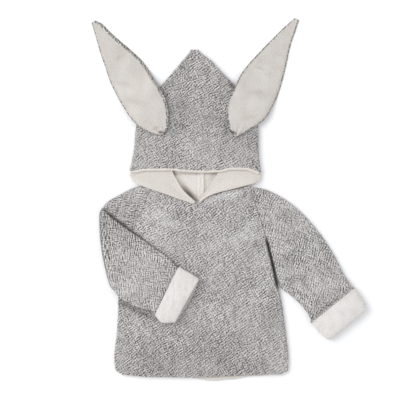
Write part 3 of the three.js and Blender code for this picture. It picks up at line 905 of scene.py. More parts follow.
@dataclass
class Body:
    """Front and back, sewn at the sides and to the sleeves."""

    finishes: Finishes
    stations: int = 190
    middles: int = 150
    hem_reach: float = 0.3
    neck_start: float = 0.62
    under_sleeve: float = 0.25
    seam_close: float = 0.22
    waves: Waves = Waves(11, 0.35, 46)
    back_waves: Waves = Waves(12, 0.3, 50)

    def line(self, side: str) -> ShellLine:
        """Rows of the front or the back.

        Args:
            side: "front" or "back", the column of the hem and the neck.

        Returns:
            The rows.
        """
        level = np.linspace(0, 1, self.stations + 1)
        place = level * BODY_ROWS.last
        hem = (1 - smooth(0, self.hem_reach, level))[:, None]
        neck = smooth(self.neck_start, 1, level)[:, None]
        base = BODY_ROWS.at("y", place)[:, None]

        def along(over: np.ndarray) -> np.ndarray:
            """Height in Y of the rows' points.

            Args:
                over: share across, from the wearer's right to the left.

            Returns:
                The height of each point, in mm.
            """
            return base + hem * HEM_LINE.over(side, over) + neck * NECK_LINE.over(side, over)

        tips = np.full(self.stations + 1, math.pi / 2)
        side_round = np.clip(BODY_ROWS.at("side_round", place), 0, 1)
        closer = self.seam_close * (1 - side_round)
        right, left = BODY_ROWS.at("right", place) - closer, BODY_ROWS.at("left", place) + closer
        return ShellLine(right, left, side_round, tips, along)

    def front_lift(self, x: np.ndarray, y: np.ndarray, over: np.ndarray) -> np.ndarray:
        """Height of the front's folds, its neck roll and its finer creases.

        Args:
            x: X, in mm.
            y: Y, in mm.
            over: share across, from the wearer's right to the left.

        Returns:
            The height, in mm.
        """
        level = np.linspace(0, 1, self.stations + 1)[:, None]
        fine = FRONT_CREASES.at(x, y) + self.waves.at(x, y)
        covered = smooth(-40, -75, x) * smooth(-250, -225, y) * smooth(0, -40, y + 0.62 * (x + 237))
        fine = fine * (1 - covered) + np.minimum(fine, self.under_sleeve) * covered
        side = np.minimum(smooth(0, 0.04, over), smooth(1, 0.96, over))
        seam_free = 1 - smooth(0.66, 0.74, level) * (1 - side)
        return FRONT_FOLDS.at(x, y) + NeckRidge().at(y, over, level) + fine * seam_free

    def back_lift(self, x: np.ndarray, y: np.ndarray, over: np.ndarray) -> np.ndarray:
        """Height of the back's shallow creases, which only rise off the surface.

        Args:
            x: X, in mm.
            y: Y, in mm.
            over: share across, from the wearer's right to the left.

        Returns:
            The height, in mm.
        """
        side = np.minimum(smooth(0, 0.05, over), smooth(1, 0.95, over))
        return np.clip(self.back_waves.at(x, y) - BACK_CREASES.at(x, y), 0, 1.3) * side

    def paint_light_and_tone(self, x: np.ndarray, y: np.ndarray, over: np.ndarray, height: np.ndarray) -> tuple:
        """Painted light and tone of both faces: ridges painted lighter; hollows, the folded sleeve's edges and
        the gap under the left sleeve painted in shade; the front darker towards the hem.

        Args:
            x: X, in mm.
            y: Y, in mm.
            over: share across, from the wearer's right to the left.
            height: height that the creases add there, in mm.

        Returns:
            The painted light and tone of the outer face and that of the inner face.
        """
        # Painted shade in the gap under the left sleeve, and the front a little darker towards the hem.
        side = smooth(0.976, 0.99, over) * smooth(-176, -160, y) * smooth(-66, -84, y)
        return (FRONT_PAINTED_SHADE.at(x, y) + RELIEF_PAINTED_LIGHT * height - 0.97 * side - 0.07 * smooth(-150, -280, y), 0.0)

    def build(self) -> None:
        """Makes and dresses the front and the back."""
        f = self.finishes
        shell = HalfShell(BODY_HEIGHT, Layer.BOTTOM, self.middles)
        back = shell.wall("back_panel", self.line("back"), self.back_lift).build([f.marl, f.cream, f.edge])
        declare(back, ["back"])
        shell = HalfShell(BODY_HEIGHT, Layer.TOP, self.middles)
        wall = shell.wall("front_panel", self.line("front"), self.front_lift, self.paint_light_and_tone)
        front = wall.build([f.marl, f.cream, f.edge])
        declare(front, ["front"])


# Hood

HOOD_ROWS = Table(
    "y right left side_round",
    (56, -190, 60, 0.3),
    (72, -186, 57, 1),
    (99, -181, 55, 1),
    (126, -179, 55, 1),
    (150, -175, 52, 1),
    (174, -165, 43, 1),
    (199, -147, 26, 1),
    (219, -127.5, 7.5, 1),
    (235, -113, -8.5, 1),
    (250, -100, -23, 1),
    (265, -87.5, -37, 1),
    (279, -75, -58, 1),
)
HOOD_BACK_ROWS = Table(
    "y right left side_round",
    (22.7, -148, 37, 0),
    (28.5, -166, 49, 0),
    (40, -180, 55, 0),
    (53, -189, 59, 0),
    *[tuple(row) for row in HOOD_ROWS.values[1:]],
)
FOREHEAD_LINE = Table(
    "across drop",
    (0, -2.4),
    (0.14, 2.1),
    (0.32, 2.6),
    (0.43, -0.4),
    (0.56, -1.6),
    (0.68, -0.6),
    (0.78, 4.1),
    (0.88, 3.6),
    (1, -4.4),
)
RIGHT_CHEEK = Table(
    "edge_x edge_y edge_z inner_x inner_y inner_z",
    (-190, 48, 3.3, -180, 58.5, 3.4),
    (-184, 36.5, 4.6, -172, 62, 3.1),
    (-171, 27.5, 7.9, -156, 64, 3.1),
    (-143, 17, 8, -134, 64, 3.1),
    (-120, 9.5, 8, -114, 60, 3.3),
    (-102, 2.5, 8, -103, 42, 4.2),
    (-85, -3, 8, -87.5, 17, 6.4),
    (-67.5, -8.5, 8, -65, -4, 7.6),
)
LEFT_CHEEK = Table(
    "edge_x edge_y edge_z inner_x inner_y inner_z",
    (60.5, 47.5, 3.3, 50.5, 58.5, 3.4),
    (57, 37.5, 4.6, 43, 62, 3.1),
    (48, 31, 7.9, 28, 64, 3.1),
    (26, 25, 8, 8, 64, 3.1),
    (2, 18.5, 8, -13, 60, 3.3),
    (-22, 12.5, 8, -28, 41, 4.2),
    (-40, 5.5, 8, -43, 20, 5.4),
    (-57, -6, 8, -58, -1, 7.6),
)
HOOD_CREASES = Creases(
    (-60, 60, -95, 130, 15, 0.9),
    (-112, 118, -70, 190, 12, -0.7),
    (0, 112, -40, 180, 12, -0.8),
    (-150, 70, -120, 118, 11, 0.7),
    (40, 70, 12, 112, 11, 0.8),
    (-20, 62, -10, 100, 9, -0.6),
    (-100, 62, -112, 108, 9, -0.6),
    (-58, 150, -62, 262, 14, 0.8),
    (30, 140, 48, 90, 8, -0.6),
    (-165, 140, -172, 85, 8, -0.5),
)
# Painted shade on the hood: the ears' dimples, shadows beside the ears' edges and in its hollows; the last row
# is a faint painted highlight.
HOOD_PAINTED_SHADE = Creases(
    (-134, 128, -126, 126, 2.2, -0.8),
    (2, 130, 14, 123, 2.4, -0.8),
    (-16, 100, 8, 172, 12, -0.2),
    (-124, 226, -106, 112, 5, -0.32),
    (-146, 230, -120, 192, 3.5, -0.6),
    (-4, 226, 16, 200, 3.5, -0.6),
    (-128, 96, -94, 84, 10, -0.12),
    (-60, 62, -62, 130, 14, 0.05),
)
# Painted shade inside the hood's opening: the cheeks' shadows, the shadow at its foot and under the forehead
# roll, and a dark line beside the centre seam; the last row is a painted highlight along the seam.
RECESS_PAINTED_SHADE = Creases(
    (-128, 86, -40, -46, 6, -0.35),
    (-94, 28, -50, -14, 7, -0.75),
    (-118, 64, -100, 44, 4, -0.5),
    (-48, 26, -14, 66, 7, -0.38),
    (-46, 44, -44, 12, 1.6, -0.4),
    (-10, 56, 56, 50, 5, -0.3),
    (-150, 47.5, 10, 48.5, 2.2, -0.4),
    (-62, 66, -62, -10, 1.2, -0.3),
    (-59, 66, -59, -10, 1.6, 0.4),
)
HOOD_BACK_CREASES = Creases(
    (-60, 40, -64, 250, 8, -1.0),
    (-150, 60, -110, 140, 12, -1.0),
    (30, 60, 0, 140, 12, -1.0),
    (-170, 140, -120, 190, 10, -0.9),
    (45, 140, 0, 190, 10, -0.9),
)


@dataclass
class HoodShell:
    """Upper and lower layer of the pointed hood."""

    finishes: Finishes
    straight: int = 130
    tip_steps: int = 9
    middles: int = 124
    forehead_reach: float = 2.0
    neck_reach: float = 4.0
    waves: Waves = Waves(21, 0.35, 42)
    back_waves: Waves = Waves(22, 0.3, 46)

    def line(self, rows: Table, low: Callable, straight: int) -> ShellLine:
        """Rows of one layer. Their last stations curl together at the point.

        Args:
            rows: the layer's rows.
            low: offset in Y from share across and row place.
            straight: stations before the curl.

        Returns:
            The rows.
        """
        station = np.arange(straight + self.tip_steps + 1)
        place = np.minimum(1, station / straight) * rows.last
        curl = np.maximum(0, station - straight) / self.tip_steps
        base = rows.at("y", place)[:, None]

        def along(over: np.ndarray) -> np.ndarray:
            """Height in Y of the rows' points.

            Args:
                over: share across, from the wearer's right to the left.

            Returns:
                The height of each point, in mm.
            """
            return base + low(over, place[:, None])

        side_round = np.clip(rows.at("side_round", place), 0, 1)
        tips = (1 - curl) * math.pi / 2
        return ShellLine(rows.at("right", place), rows.at("left", place), side_round, tips, along)

    def forehead_drop(self, over: np.ndarray, place: np.ndarray) -> np.ndarray:
        """Wave of the edge over the forehead, which dies out above it.

        Args:
            over: share across, from the wearer's right to the left.
            place: row place.

        Returns:
            The drop, in mm.
        """
        return FOREHEAD_LINE.over("drop", over) * (1 - smooth(0, self.forehead_reach, place))

    def neck_drop(self, over: np.ndarray, place: np.ndarray) -> np.ndarray:
        """Curve of the neck, which dies out above it.

        Args:
            over: share across, from the wearer's right to the left.
            place: row place.

        Returns:
            The drop, in mm.
        """
        return NECK_LINE.over("back", over) * (1 - smooth(0, self.neck_reach, place))

    def lift(self, x: np.ndarray, y: np.ndarray, over: np.ndarray) -> np.ndarray:
        """Height of the upper layer's creases.

        Args:
            x: X, in mm.
            y: Y, in mm.
            over: share across, from the wearer's right to the left.

        Returns:
            The height, in mm.
        """
        side = np.minimum(smooth(0, 0.06, over), smooth(1, 0.94, over))
        low = HOOD_CREASES.at(x, y) + self.waves.at(x, y)
        ear = np.clip(smooth(108, 122, y) * np.maximum(smooth(-96, -112, x), smooth(-22, -8, x)), 0, 1)
        return (low * (1 - ear) + np.minimum(low, 0) * ear) * side

    def back_lift(self, x: np.ndarray, y: np.ndarray, over: np.ndarray) -> np.ndarray:
        """Height of the lower layer's shallow creases, which only rise off the surface.

        Args:
            x: X, in mm.
            y: Y, in mm.
            over: share across, from the wearer's right to the left.

        Returns:
            The height, in mm.
        """
        side = np.minimum(smooth(0, 0.06, over), smooth(1, 0.94, over)) * smooth(62, 80, y)
        return np.clip(self.back_waves.at(x, y) - HOOD_BACK_CREASES.at(x, y), 0, 1.3) * side

    def paint_light_and_tone(self, x: np.ndarray, y: np.ndarray, over: np.ndarray, height: np.ndarray) -> tuple:
        """Painted light and tone of the upper layer: ridges painted lighter, hollows and the ears' dimples
        painted in shade, and the whole layer a little darker.

        Args:
            x: X, in mm.
            y: Y, in mm.
            over: share across, from the wearer's right to the left. Not used.
            height: height that the creases add there, in mm.

        Returns:
            The painted light and tone of the outer face and that of the inner face.
        """
        return (HOOD_PAINTED_SHADE.at(x, y) + RELIEF_PAINTED_LIGHT * height - 0.08, 0.0)

    def back_paint_light_and_tone(self, x: np.ndarray, y: np.ndarray, over: np.ndarray, height: np.ndarray) -> tuple:
        """Painted light and tone of the lower layer: its inside painted in shade at the foot of the opening,
        and lighter all over.

        Args:
            x: X, in mm.
            y: Y, in mm.
            over: share across, from the wearer's right to the left. Not used.
            height: height that the creases add there, in mm. Not used.

        Returns:
            The painted light and tone of the outer face and that of the inner face.
        """
        return (0.0, RECESS_PAINTED_SHADE.at(x, y) + 0.16)

    def build(self) -> list[bpy.types.Object]:
        """Makes both layers.

        Returns:
            The upper and the lower layer.
        """
        f = self.finishes
        line = self.line(HOOD_ROWS, self.forehead_drop, self.straight)
        upper = HalfShell(HOOD_HEIGHT, Layer.TOP, self.middles).wall("hood_upper", line, self.lift, self.paint_light_and_tone)
        line = self.line(HOOD_BACK_ROWS, self.neck_drop, self.straight + 20)
        shell = HalfShell(HOOD_HEIGHT, Layer.BOTTOM, self.middles)
        lower = shell.wall("hood_lower", line, self.back_lift, self.back_paint_light_and_tone)
        return [each.build([f.marl, f.cream, f.cream]) for each in (upper, lower)]


@dataclass
class HoodTrim:
    """Rolled edge over the forehead, centre seam inside, and the two turned-out cheeks."""

    finishes: Finishes
    roll: float = 2.5
    gap: float = -0.5
    span: tuple[float, float] = (0.012, 0.988)
    lengths: int = 220
    sides: int = 16
    seam_x: float = -52.0
    seam_low: float = 6.0
    seam_high: float = 120.0
    seam_width: float = 8.0
    seam_rise: float = 1.3
    cheek_dip: tuple[float, float] = (0.08, 0.5)
    cheek_stations: int = 96
    cheek_columns: int = 40

    def forehead(self) -> bpy.types.Object:
        """Rolled edge: a soft roll that is thicker towards the left, with a slight wave along it.

        Returns:
            The roll.
        """
        over = np.linspace(*self.span, self.lengths)
        y0 = HOOD_ROWS.column("y")[0]
        ends = np.minimum(smooth(0.0, 0.03, over), smooth(1.0, 0.97, over))
        fuzz = Waves(31, 0.16, 18).at(over * 250, 0 * over)
        thick = (self.roll + 0.25 * smooth(0.6, 0.8, over) + fuzz) * (0.6 + 0.4 * ends)
        x = mix(HOOD_ROWS.column("right")[0], HOOD_ROWS.column("left")[0], over)
        y = y0 + FOREHEAD_LINE.over("drop", over) - self.roll - self.gap
        z = HOOD_HEIGHT - 0.6 * self.roll - (self.roll - thick) + Waves(32, 0.3, 24).at(x, 0 * x)
        angle = np.arange(self.sides) / self.sides * 2 * math.pi
        slope = np.gradient(y, x)
        norm = np.sqrt(1 + slope**2)
        side = np.stack([-slope / norm, 1 / norm, 0 * x], axis=-1)
        centre = np.stack([x, y, z], axis=-1)
        up = np.array([0.0, 0.0, 1.0])
        ring = centre[:, None] + thick[:, None, None] * (
            np.cos(angle)[None, :, None] * side[:, None] + np.sin(angle)[None, :, None] * up)
        ends_in = [centre[:1, None] + 0 * ring[:1], centre[-1:, None] + 0 * ring[-1:]]
        grid = np.concatenate([ends_in[0], ring, ends_in[1]])
        turn = np.arange(self.sides + 1) / self.sides * 2 * math.pi * self.roll
        along = np.concatenate([x[:1], x, x[-1:]])
        knit = np.stack(np.broadcast_arrays(along[:, None], turn[None, :]), axis=-1)
        return Tube("forehead_roll", grid, knit).build([self.finishes.cream])

    def seam(self) -> bpy.types.Object:
        """Centre seam: a flat band with rounded sides and a line of stitches down one side.

        Returns:
            The band.
        """
        y = np.linspace(self.seam_low, self.seam_high, 90)
        angle = np.arange(24) / 24 * 2 * math.pi
        low = CLOTH + SEAM
        half = self.seam_width / 2 + Waves(41, 0.25, 16).at(0 * y, y)
        x = self.seam_x + half[:, None] * np.sign(np.cos(angle)) * np.abs(np.cos(angle)) ** 0.6
        groove = 0.25 * np.exp(-(((np.cos(angle) + 0.45) / 0.12) ** 2))
        z = low + self.seam_rise * (0.5 + 0.5 * np.sin(angle) - groove * (np.sin(angle) > 0))[None, :] + 0 * x
        grid = np.stack([x, np.broadcast_to(y[:, None], x.shape), z], axis=-1)
        centre = np.stack([np.full_like(y, self.seam_x), y, np.full_like(y, low + self.seam_rise / 2)], axis=-1)
        grid = np.concatenate([centre[:1, None] + 0 * grid[:1], grid, centre[-1:, None] + 0 * grid[-1:]])
        turn = np.linspace(0, 2 * self.seam_width, len(angle) + 1)
        along = np.concatenate([y[:1], y, y[-1:]])
        knit = np.stack(np.broadcast_arrays(turn[None, :], along[:, None]), axis=-1)
        return Tube("hood_centre_seam", grid, knit).build([self.finishes.cream])

    def cheek(self, side: Side) -> bpy.types.Object:
        """Turned-out lower front of the hood.

        Args:
            side: the wearer's side.

        Returns:
            The piece.
        """
        rows = RIGHT_CHEEK if side is Side.RIGHT else LEFT_CHEEK
        place = np.linspace(0, rows.last, self.cheek_stations + 1)[:, None]
        share = np.linspace(0, 1, self.cheek_columns + 1)[None, :]
        x, y = (mix(rows.at(f"edge_{axis}", place), rows.at(f"inner_{axis}", place), share) for axis in "xy")
        low = mix(rows.at("edge_z", place), rows.at("inner_z", place), smooth(*self.cheek_dip, share))
        seed = 51 if side is Side.RIGHT else 52
        low = low + Waves(seed, 0.12, 22).at(x, y)
        outer = np.stack([x, y, low + CLOTH], axis=-1)
        inner = np.stack([x, y, low], axis=-1)
        name = f"hood_cheek_{side.value}"
        wall = Wall(name, outer, inner, outer[..., :2].copy(), soften=0.9, painted_light_and_tone=-0.07)
        return wall.build([self.finishes.cream] * 3)

    def build(self, hood: list[bpy.types.Object]) -> None:
        """Args:
            hood: the hood's upper and lower layer.
        """
        upper, lower = hood
        pieces = {"hood_edge": self.forehead(), "hood_seam": self.seam()}
        for node, piece in pieces.items():
            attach(piece, "root")
            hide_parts(node)
            report(piece)
        declare(lower, ["hood_back"])
        declare(upper, ["hood_front"])
        for side, flat in ((Side.RIGHT, (0.14, 0.06)), (Side.LEFT, (0.13, 0.055))):
            piece = self.cheek(side)
            declare(piece, [f"cheek_{side.value}"])


@dataclass
class Tube:
    """Closed body swept round a line, its ends drawn together to points."""

    name: str
    grid: np.ndarray
    knit: np.ndarray

    def build(self, slots: list[bpy.types.Material]) -> bpy.types.Object:
        """Makes the piece, its end rings merged to one point each.

        Args:
            slots: its materials.

        Returns:
            The piece.
        """
        wall = Wall(self.name, self.grid, self.grid[:1], self.knit, ring=True, soften=0)
        rows, columns = self.grid.shape[:2]
        i, j = np.meshgrid(np.arange(rows - 1), np.arange(columns), indexing="ij")
        after = (j + 1) % columns
        corners = [(i, j), (i, after), (i + 1, after), (i + 1, j)]
        spread = [(i, j), (i, j + 1), (i + 1, j + 1), (i + 1, j)]
        faces = np.stack([a * columns + b for a, b in corners], axis=-1).reshape(-1, 4)
        places = np.stack([self.knit[a, b] for a, b in spread], axis=-2).reshape(-1, 4, 2)
        made = wall.to_object(self.grid.reshape(-1, 3), faces, places, np.zeros(len(faces), dtype=int), slots)
        weld(made)
        return made


def weld(piece: bpy.types.Object) -> None:
    """Merges points that fall together.

    Args:
        piece: the piece.
    """
    work = bmesh.new()
    work.from_mesh(piece.data)
    bmesh.ops.remove_doubles(work, verts=work.verts, dist=1e-6)
    work.to_mesh(piece.data)
    work.free()


# Sleeves

LEFT_SLEEVE = Table(
    "inner_x inner_y outer_x outer_y rise puff turn bow",
    (71.6, -76, 38.2, 23, 0, 0, 0, 0),
    (77.5, -92, 67, 19, 0, 1.5, 0, 0),
    (80.4, -107, 102, 2, 0, 3, 0, 0),
    (83.9, -122, 133, -22, 0, 4, 0, 0),
    (88.2, -140, 159, -50, 0, 4, 0, 0),
    (92.2, -156, 182, -80, 0, 4, 0, 0),
    (98.5, -169, 201, -111, 0, 4, 0, 0),
    (118, -184, 215, -139, 0.6, 3.5, 0, 0),
    (141, -207, 225.5, -156, 2, 2.5, 0, 0),
    (156, -229.5, 232, -168, 3.5, 0.5, 0, 0),
    (171, -248, 246.5, -188, 3.5, 0.4, 0, 0),
    (187, -264.5, 257.8, -206.5, 3.5, 0.4, 0, 0),
)
RIGHT_UPPER = (
    (-188.9, -76, -149, 22.5, 0, 0),
    (-198.5, -96, -171.5, 24.5, 0, 0.6),
    (-203.5, -118, -193, 17, 0, 0.6),
    (-207.5, -137, -216, 4.5, 0, 0.4),
    (-211.5, -154, -233, -6, 0, 0),
)
RIGHT_FOREARM = (
    (-207, -189, -222, -36, 8.4, 1),
    (-192, -197, -192, -58, 8.4, 2.5),
    (-177, -204, -165, -76, 8.4, 3.5),
    (-162, -209, -139, -94.5, 8.5, 3.5),
    (-149, -211, -116, -110, 9.6, 2.5),
    (-140.5, -217, -97.5, -130, 11.2, 1),
    (-126, -230.5, -79.5, -141, 11.2, 0.6),
    (-106, -232, -60.5, -151, 11.2, 0.6),
)
LEFT_SLEEVE_CREASES = Creases(
    (82, -112, 128, -84, 9, 1.1),
    (84, -128, 140, -104, 8, -1.0),
    (90, -148, 150, -128, 9, 1.0),
    (98, -166, 168, -150, 8, -0.9),
    (130, -40, 160, -100, 13, 0.9),
    (100, -10, 118, -60, 12, -0.7),
    (188, -100, 196, -150, 9, -0.8),
    (160, -170, 205, -160, 8, 0.8),
    (60, 8, 62, -60, 9, -0.6),
)
RIGHT_SLEEVE_CREASES = Creases(
    (-236, -110, -190, -100, 11, 0.8),
    (-232, -140, -180, -140, 10, -0.8),
    (-215, -168, -165, -172, 9, 0.8),
    (-200, -70, -160, -110, 11, -0.7),
    (-170, -90, -130, -140, 12, 0.8),
    (-150, -180, -120, -160, 9, -0.6),
    (-232, -60, -205, -90, 9, 0.7),
)
# Painted shade on the sleeves: hollows of the left sleeve's creases, and the shadow where the folded forearm's
# edge lies over the right upper arm.
LEFT_SLEEVE_PAINTED_SHADE = Creases(
    (84, -120, 134, -96, 5, -0.12),
    (92, -158, 160, -140, 5, -0.12),
    (100, -12, 116, -60, 8, -0.08),
)
RIGHT_SLEEVE_PAINTED_SHADE = Creases(
    (-262, -4, -150, -86, 2.6, -0.8),
)


@dataclass
class Fold:
    """Fold of the right sleeve across its width, where the forearm turns back over the front."""

    inner_x: float = -218.0
    inner_y: float = -173.0
    outer_x: float = -240.5
    outer_y: float = -17.0
    bow: float = 6.0
    corner: float = 7.0
    steps: int = 7
    radius: float = (SLEEVE_HEIGHT + FOLD_GAP) / 2

    @property
    def along(self) -> np.ndarray:
        """Direction of the fold in plan, from the underarm side to the shoulder side.

        Returns:
            A vector in plan.
        """
        way = np.array([self.outer_x - self.inner_x, self.outer_y - self.inner_y])
        return way / np.linalg.norm(way)

    def rows(self) -> list[tuple[float, ...]]:
        """Rows of the sleeve round the fold, whose corners are rounded in plan.

        Returns:
            The rows, with the columns of the sleeve's table.
        """
        (ax, ay), found = self.along, []
        for k in range(self.steps + 1):
            turn = k / self.steps * math.pi
            out, inward = self.radius * math.sin(turn), self.corner * math.sin(turn) ** 2
            found.append((self.inner_x - ay * out + ax * inward, self.inner_y + ax * out + ay * inward,
                          self.outer_x - ay * out - ax * inward, self.outer_y + ax * out - ay * inward,
                          self.radius * (1 - math.cos(turn)), 0, turn, self.bow * math.sin(turn)))
        return found

    def opened(self, x: np.ndarray, y: np.ndarray, turn: np.ndarray, layer: np.ndarray) -> tuple:
        """Plan of the sleeve with the fold opened out flat.

        Args:
            x: places across, as folded.
            y: places along, as folded.
            turn: turn of the fold at each row.
            layer: 1 on the sleeve's upper half as sewn, and -1 on its lower one.

        Returns:
            Places across and along, laid flat.
        """
        ax, ay = self.along
        dx, dy = x - self.inner_x, y - self.inner_y
        run, out = dx * ax + dy * ay, dy * ax - dx * ay
        arc = self.radius - layer * SLEEVE_HEIGHT / 2
        out = np.where(turn <= 0, out, np.where(turn >= math.pi, math.pi * arc - out, arc * turn))
        return self.inner_x + run * ax - out * ay, self.inner_y + run * ay + out * ax


FOLD = Fold()


def right_sleeve_rows() -> Table:
    """Rows of the whole right sleeve: upper arm, fold and forearm.

    Returns:
        The table of the rows.
    """
    upper = [(*row, 0, 0) for row in RIGHT_UPPER]
    forearm = [(*row, math.pi, 0) for row in RIGHT_FOREARM]
    return Table("inner_x inner_y outer_x outer_y rise puff turn bow", *upper, *FOLD.rows(), *forearm)


@dataclass
class Ring:
    """Sections of a flattened sleeve at several row places."""

    rows: Table
    middles: int = 46
    arcs: int = 9
    corner: float = 5.0
    below: float = 0.0
    plan_width: float = 80.0

    @classmethod
    def of(cls, rows: Table) -> "Ring":
        """Sections of a sleeve. A folded one shows the lower side of its mouth past the upper one.

        Args:
            rows: the sleeve's rows, from its armhole to its cuff.

        Returns:
            The sections.
        """
        folded = rows.column("turn")[-1] > 0
        return cls(rows, corner=4.0 if folded else 7.5, below=4.4 if folded else 0.8)

    def places(self) -> tuple[np.ndarray, np.ndarray, np.ndarray]:
        """Share across, up or down, and end turn of each place round the sleeve.

        Returns:
            Three arrays; the turn is 0 where a place is on a flat side.
        """
        straight = (np.arange(self.middles) + 1) / (self.middles + 1)
        turn = np.linspace(0.5, -0.5, self.arcs) * math.pi
        share = np.concatenate([straight, np.ones(self.arcs), 1 - straight, np.zeros(self.arcs)])
        up, level = np.ones(self.middles), np.zeros(self.arcs)
        flat = np.concatenate([up, level, -up, level])
        turns = np.concatenate([0 * straight, turn, 0 * straight, -turn])
        return share, flat, turns

    def points(self, place: np.ndarray, out: np.ndarray | float) -> tuple[np.ndarray, np.ndarray]:
        """Points round the sleeve and the way out at each.

        Args:
            place: row places.
            out: distance out from the sleeve's outer face.

        Returns:
            The points and the outward directions.
        """
        get = {name: self.rows.at(name, place)[:, None] for name in self.rows.names}
        radius = SLEEVE_HEIGHT / 2
        out = np.broadcast_to(np.asarray(out, dtype=float), place.shape)[:, None, None]
        height = np.maximum(0, get["rise"]) + radius
        inner = np.concatenate([get["inner_x"], get["inner_y"], height], axis=1)
        outer = np.concatenate([get["outer_x"], get["outer_y"], height], axis=1)
        along = outer - inner
        along /= np.linalg.norm(along, axis=1, keepdims=True)
        outward = np.cross(np.array([0.0, 0.0, 1.0]), along)
        turn = get["turn"]
        normal = np.concatenate([0 * turn, 0 * turn, np.cos(turn)], axis=1) - outward * np.sin(turn)
        puff = get["puff"] * np.cos(turn)
        share, flat, turns = self.places()
        start, stop = inner + along * radius, outer - along * radius
        middle = np.where(flat != 0, 1 - (2 * share - 1) ** 2, 0)[None, :]
        swell = np.where(flat[None, :] * np.sign(puff) > 0, puff * middle, 0)
        base = start[:, None] + (stop - start)[:, None] * share[None, :, None]
        end = np.where(share > 0.5, 1.0, -1.0)[None, :, None]
        on_arc = (flat == 0)[None, :, None]
        ahead, aside = np.cos(turns)[None, :, None], np.sin(turns)[None, :, None]
        round_way = along[:, None] * ahead * end + normal[:, None] * aside
        flat_way = normal[:, None] * flat[None, :, None]
        way = np.where(on_arc, round_way, flat_way)
        points = base + way * (radius + out) + normal[:, None] * swell[..., None]
        points = points + outward[:, None] * (get["bow"] * middle)[..., None]
        mouth = smooth(self.rows.last - 1, self.rows.last, place)[:, None]
        below = smooth(0.2, -0.6, way[..., 2]) * (1 - (2 * share - 1) ** 2)
        pull = self.below * below - self.rounding(self.corner)
        return points + self.axis() * (mouth * pull)[..., None], way

    def rounding(self, corner: float) -> np.ndarray:
        """How far a rounded corner in plan draws back each place round the sleeve.

        Args:
            corner: radius of the corner in plan, in mm.

        Returns:
            The distance drawn back, in mm.
        """
        share, flat, turns = self.places()
        side = SLEEVE_HEIGHT - np.where(flat == 0, SLEEVE_HEIGHT * np.cos(turns), 0)
        from_side = side + self.plan_width * np.where(flat == 0, 0, np.minimum(share, 1 - share))
        return corner - np.sqrt(corner**2 - np.maximum(0, corner - from_side) ** 2)

    def axis(self) -> np.ndarray:
        """Direction of the sleeve at its mouth, in plan.

        Returns:
            A vector of length 1.
        """
        last = self.rows.last
        way = [np.diff([self.rows.at(f"{side}_{axis}", place) for place in (last - 1, last)])[0]
               for side, axis in (("inner", "x"), ("inner", "y"), ("outer", "x"), ("outer", "y"))]
        way = np.array([way[0] + way[2], way[1] + way[3], 0.0])
        return way / np.linalg.norm(way)


